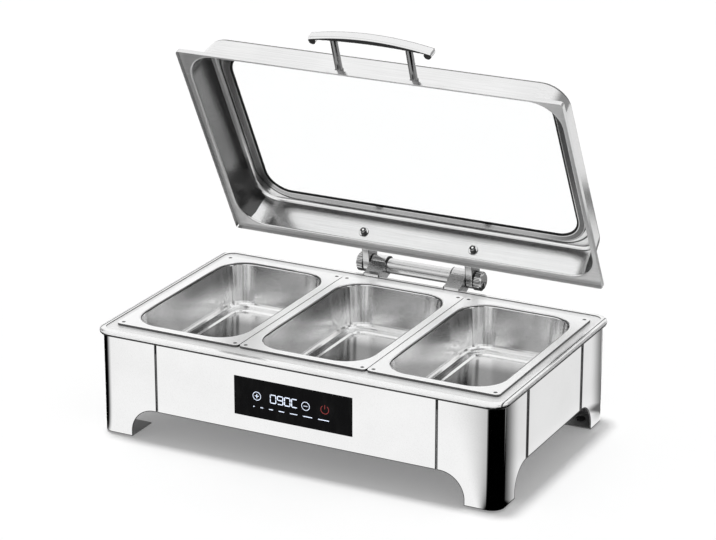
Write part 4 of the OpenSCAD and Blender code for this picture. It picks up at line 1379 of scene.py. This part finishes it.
@dataclass
class Studio:
    """Floor with painted dark card shapes that only metal shows, light and camera."""

    azimuth: float = 27.11
    elevation: float = 19.74
    target: Triple = (0.00525, 0.0, 0.21311)
    distance: float = 3.41677
    lens: float = 136.52
    sensor: float = 36.0
    clip: Limits = (0.05, 50.0)
    floor_half: float = 6.0
    floor_colour: float = 0.98
    fill: float = 0.45
    key: float = 1.85
    glow: float = 0.2
    softness: float = 9.0
    sun_from: Triple = (-0.10, 0.03, 1.0)
    # Flags round the room, by bearing in degrees and by height.
    flags: tuple[Patch, ...] = (
        Patch(0.9, (-125.0, -110.0, -80.0, -65.0), (*LOW, 0.45, 0.8)),
        Patch(0.9, (26.0, 32.0, 46.0, 52.0), (*LOW, 0.2, 0.28)),
        Patch(0.9, (50.0, 54.0, 64.0, 72.0), (*LOW, 0.45, 0.8)),
        Patch(0.7, (115.0, 130.0, 160.0, 172.0), (*LOW, 0.45, 0.8)),
        Patch(0.3, (-75.0, -60.0, -20.0, -5.0), (0.5, 0.56, 0.7, 0.76)),
    )
    # Painted dark card shapes on the floor round the front corners, seen only in metal, by centre,
    # facing and bearings from there.
    painted_cards: tuple[tuple[Point, float, Fades], ...] = (
        ((0.261, -0.148), 45.0, (-78.0, -55.0, 84.0, 116.0)),
        ((-0.261, -0.148), -45.0, (-95.0, -75.0, -25.0, 20.0)),
    )
    card_reach: Limits = (0.45, 0.6)
    # Dark stripes at the right and behind, and last the shaded place under the dish.
    stripes: tuple[Patch, ...] = (
        Patch(0.85, (0.28, 0.30, *HIGH), (*LOW, 0.75, 0.9),
              (0.112, 0.158, 0.19, 0.25), (-2.49, 1.0), (0.278, 0.0)),
        Patch(0.85, (0.20, 0.24, 0.302, 0.315), (0.17, 0.19, 0.9, 1.0)),
        Patch(1.0, (0.279, 0.284, *HIGH), (*LOW, 0.3, 0.5),
              (-0.30, -0.25, -0.155, -0.10), (-2.27, 1.0), (0.278, 0.0)),
        Patch(0.95, (-0.04, 0.04, *HIGH), (0.4, 0.5, 1.2, 1.32),
              (*LOW, 0.06, 0.12), (1.0, -0.632), (0.0, 0.57)),
        Patch(0.95, (0.48, 0.58, *HIGH), (-0.4, -0.2, 0.8, 1.0)),
        Patch(0.97, (-0.275, -0.262, 0.262, 0.275), (-0.163, -0.15, 0.15, 0.163)),
    )
    # Grey places at the left and the right of an otherwise white floor.
    greys: tuple[Patch, ...] = (
        Patch(0.52, (*LOW, -0.36, -0.3), (-0.02, 0.06, 0.6, 0.8)),
        Patch(0.14, (0.29, 0.34, *HIGH), (-0.06, 0.02, *HIGH)),
    )
    white: float = 0.97

    def build(self) -> None:
        """Sets up everything round the dish."""
        settings = bpy.context.scene.view_settings
        settings.view_transform = "Standard"
        self._world()
        self._floor()
        self._sun()
        self._camera()

    def _rays(self, graph: Graph) -> tuple[Value, Value]:
        """Tells rays apart by where they come from.

        Args:
            graph: where the nodes go.

        Returns:
            1 for rays from the camera, straight or through glass, and 1 for rays from metal.
        """
        outs = graph.node("ShaderNodeLightPath").socket.node.outputs
        seen, gloss, through, mirrors = (Value(graph, outs[name]) for name in (
            "Is Camera Ray", "Is Glossy Ray", "Is Transmission Ray", "Glossy Depth"))
        metal = gloss.most(through) * mirrors.least(1.0)
        return seen.most(through) * (1.0 - metal), metal

    def _toned(self, graph: Graph, kind: Glow, tone: Value) -> Value:
        """A light between black and white by its tone."""
        return graph.mixed(tone, graph.light(kind, 0.0), graph.light(kind))

    def _sky_tone(self, graph: Graph) -> Value:
        """The room as metal shows it: white overhead, with dark flags that stand round it."""
        x, y, z = graph.axes(graph.node("ShaderNodeTexCoord", out="Generated"))
        return 1.0 - darkest(self.flags, x.bearing(0.0 - y), z)

    def _painted_card(self, x: Value, y: Value, at: Point, facing: float, fades: Fades) -> Value:
        """Shade of a dark card shape painted on the floor round a corner of the dish, which only
        metal shows.

        Args:
            x: place on the floor.
            y: place on the floor.
            at: the corner's centre.
            facing: bearing of the corner's middle, in degrees from the front to the right.
            fades: the card's bearings from there.

        Returns:
            1 where the card shows.
        """
        turn = math.radians(facing)
        from_x, from_y = x - at[0], y - at[1]
        ahead = from_x * math.sin(turn) - from_y * math.cos(turn)
        right = from_x * math.cos(turn) + from_y * math.sin(turn)
        near = from_x.hypot(from_y).fall(*self.card_reach)
        return right.bearing(ahead).strip(fades) * near

    def _floor_tone(self, graph: Graph) -> Value:
        """The floor as metal shows it: white and grey, with painted dark card shapes and stripes.

        Args:
            graph: the floor's tree.

        Returns:
            0 for black, 1 for white.
        """
        x, y, _ = graph.axes(graph.place())
        dark = darkest(self.stripes, x, y)
        for card in self.painted_cards:
            dark = dark.most(self._painted_card(x, y, *card))
        tone: Any = self.white
        for patch in self.greys:
            tone = tone - patch.shade(x, y)
        return tone * (1.0 - dark)

    def _world(self) -> None:
        """Plain soft light on the dish, white behind it, and a room of its own for metal."""
        world = bpy.data.worlds.new("studio")
        bpy.context.scene.world = world
        world.use_nodes = True
        graph = Graph(world.node_tree)
        seen, metal = self._rays(graph)
        room = self._toned(graph, Glow.SKY, self._sky_tone(graph))
        other = graph.mixed(metal, graph.light(Glow.SKY, strength=self.fill), room)
        both = graph.mixed(seen, other, graph.light(Glow.SKY))
        graph.node("ShaderNodeOutputWorld", None, {"Surface": both})

    def _floor(self) -> None:
        """A pale floor that keeps the shadow and has tones of its own in metal."""
        mesh = bmesh.new()
        bmesh.ops.create_grid(mesh, x_segments=4, y_segments=4, size=self.floor_half)
        data = bpy.data.meshes.new("floor")
        mesh.to_mesh(data)
        mesh.free()
        floor = linked("floor", data)
        made = bpy.data.materials.new("pale_floor")
        made.use_nodes = True
        graph = Graph(made.node_tree)
        _, metal = self._rays(graph)
        colour = (*grey(self.floor_colour), 1.0)
        matt = graph.node("ShaderNodeBsdfDiffuse", None, {"Color": colour})
        plain = graph.mixed(self.glow, matt, graph.light(Glow.LAMP))
        shown = self._toned(graph, Glow.LAMP, self._floor_tone(graph))
        both = graph.mixed(metal, plain, shown)
        graph.node("ShaderNodeOutputMaterial", None, {"Surface": both})
        data.materials.append(made)

    def _sun(self) -> None:
        """Hangs one soft light high over the left side, so the shadow lies close at the right."""
        data = bpy.data.lights.new("key_light", "SUN")
        data.energy = self.key
        data.angle = math.radians(self.softness)
        sun = linked("key_light", data)
        sun.rotation_mode = "QUATERNION"
        sun.rotation_quaternion = (-Vector(self.sun_from)).to_track_quat("-Z", "Y")
        sun.visible_glossy = sun.visible_transmission = False

    def _camera(self) -> None:
        """Stands the camera where the photograph was taken."""
        az, el = math.radians(self.azimuth), math.radians(self.elevation)
        back = Vector((math.sin(az) * math.cos(el), -math.cos(az) * math.cos(el), math.sin(el)))
        data = bpy.data.cameras.new("camera")
        data.lens = self.lens
        data.sensor_width = self.sensor
        data.clip_start, data.clip_end = self.clip
        camera = linked("camera", data)
        camera.location = Vector(self.target) + back * self.distance
        camera.rotation_mode = "QUATERNION"
        camera.rotation_quaternion = (-back).to_track_quat("-Z", "Y")
        bpy.context.scene.camera = camera


def main() -> None:
    """Builds and dresses the sub-assemblies in order."""
    logging.basicConfig(level=logging.INFO, format="%(message)s")
    for part in (Studio(), Housing(), Pans(), ControlFace(), Works(), Hinge(), Lid()):
        LOG.info("building %s", type(part).__name__)
        part.build()


if __name__ == "__main__":
    main()
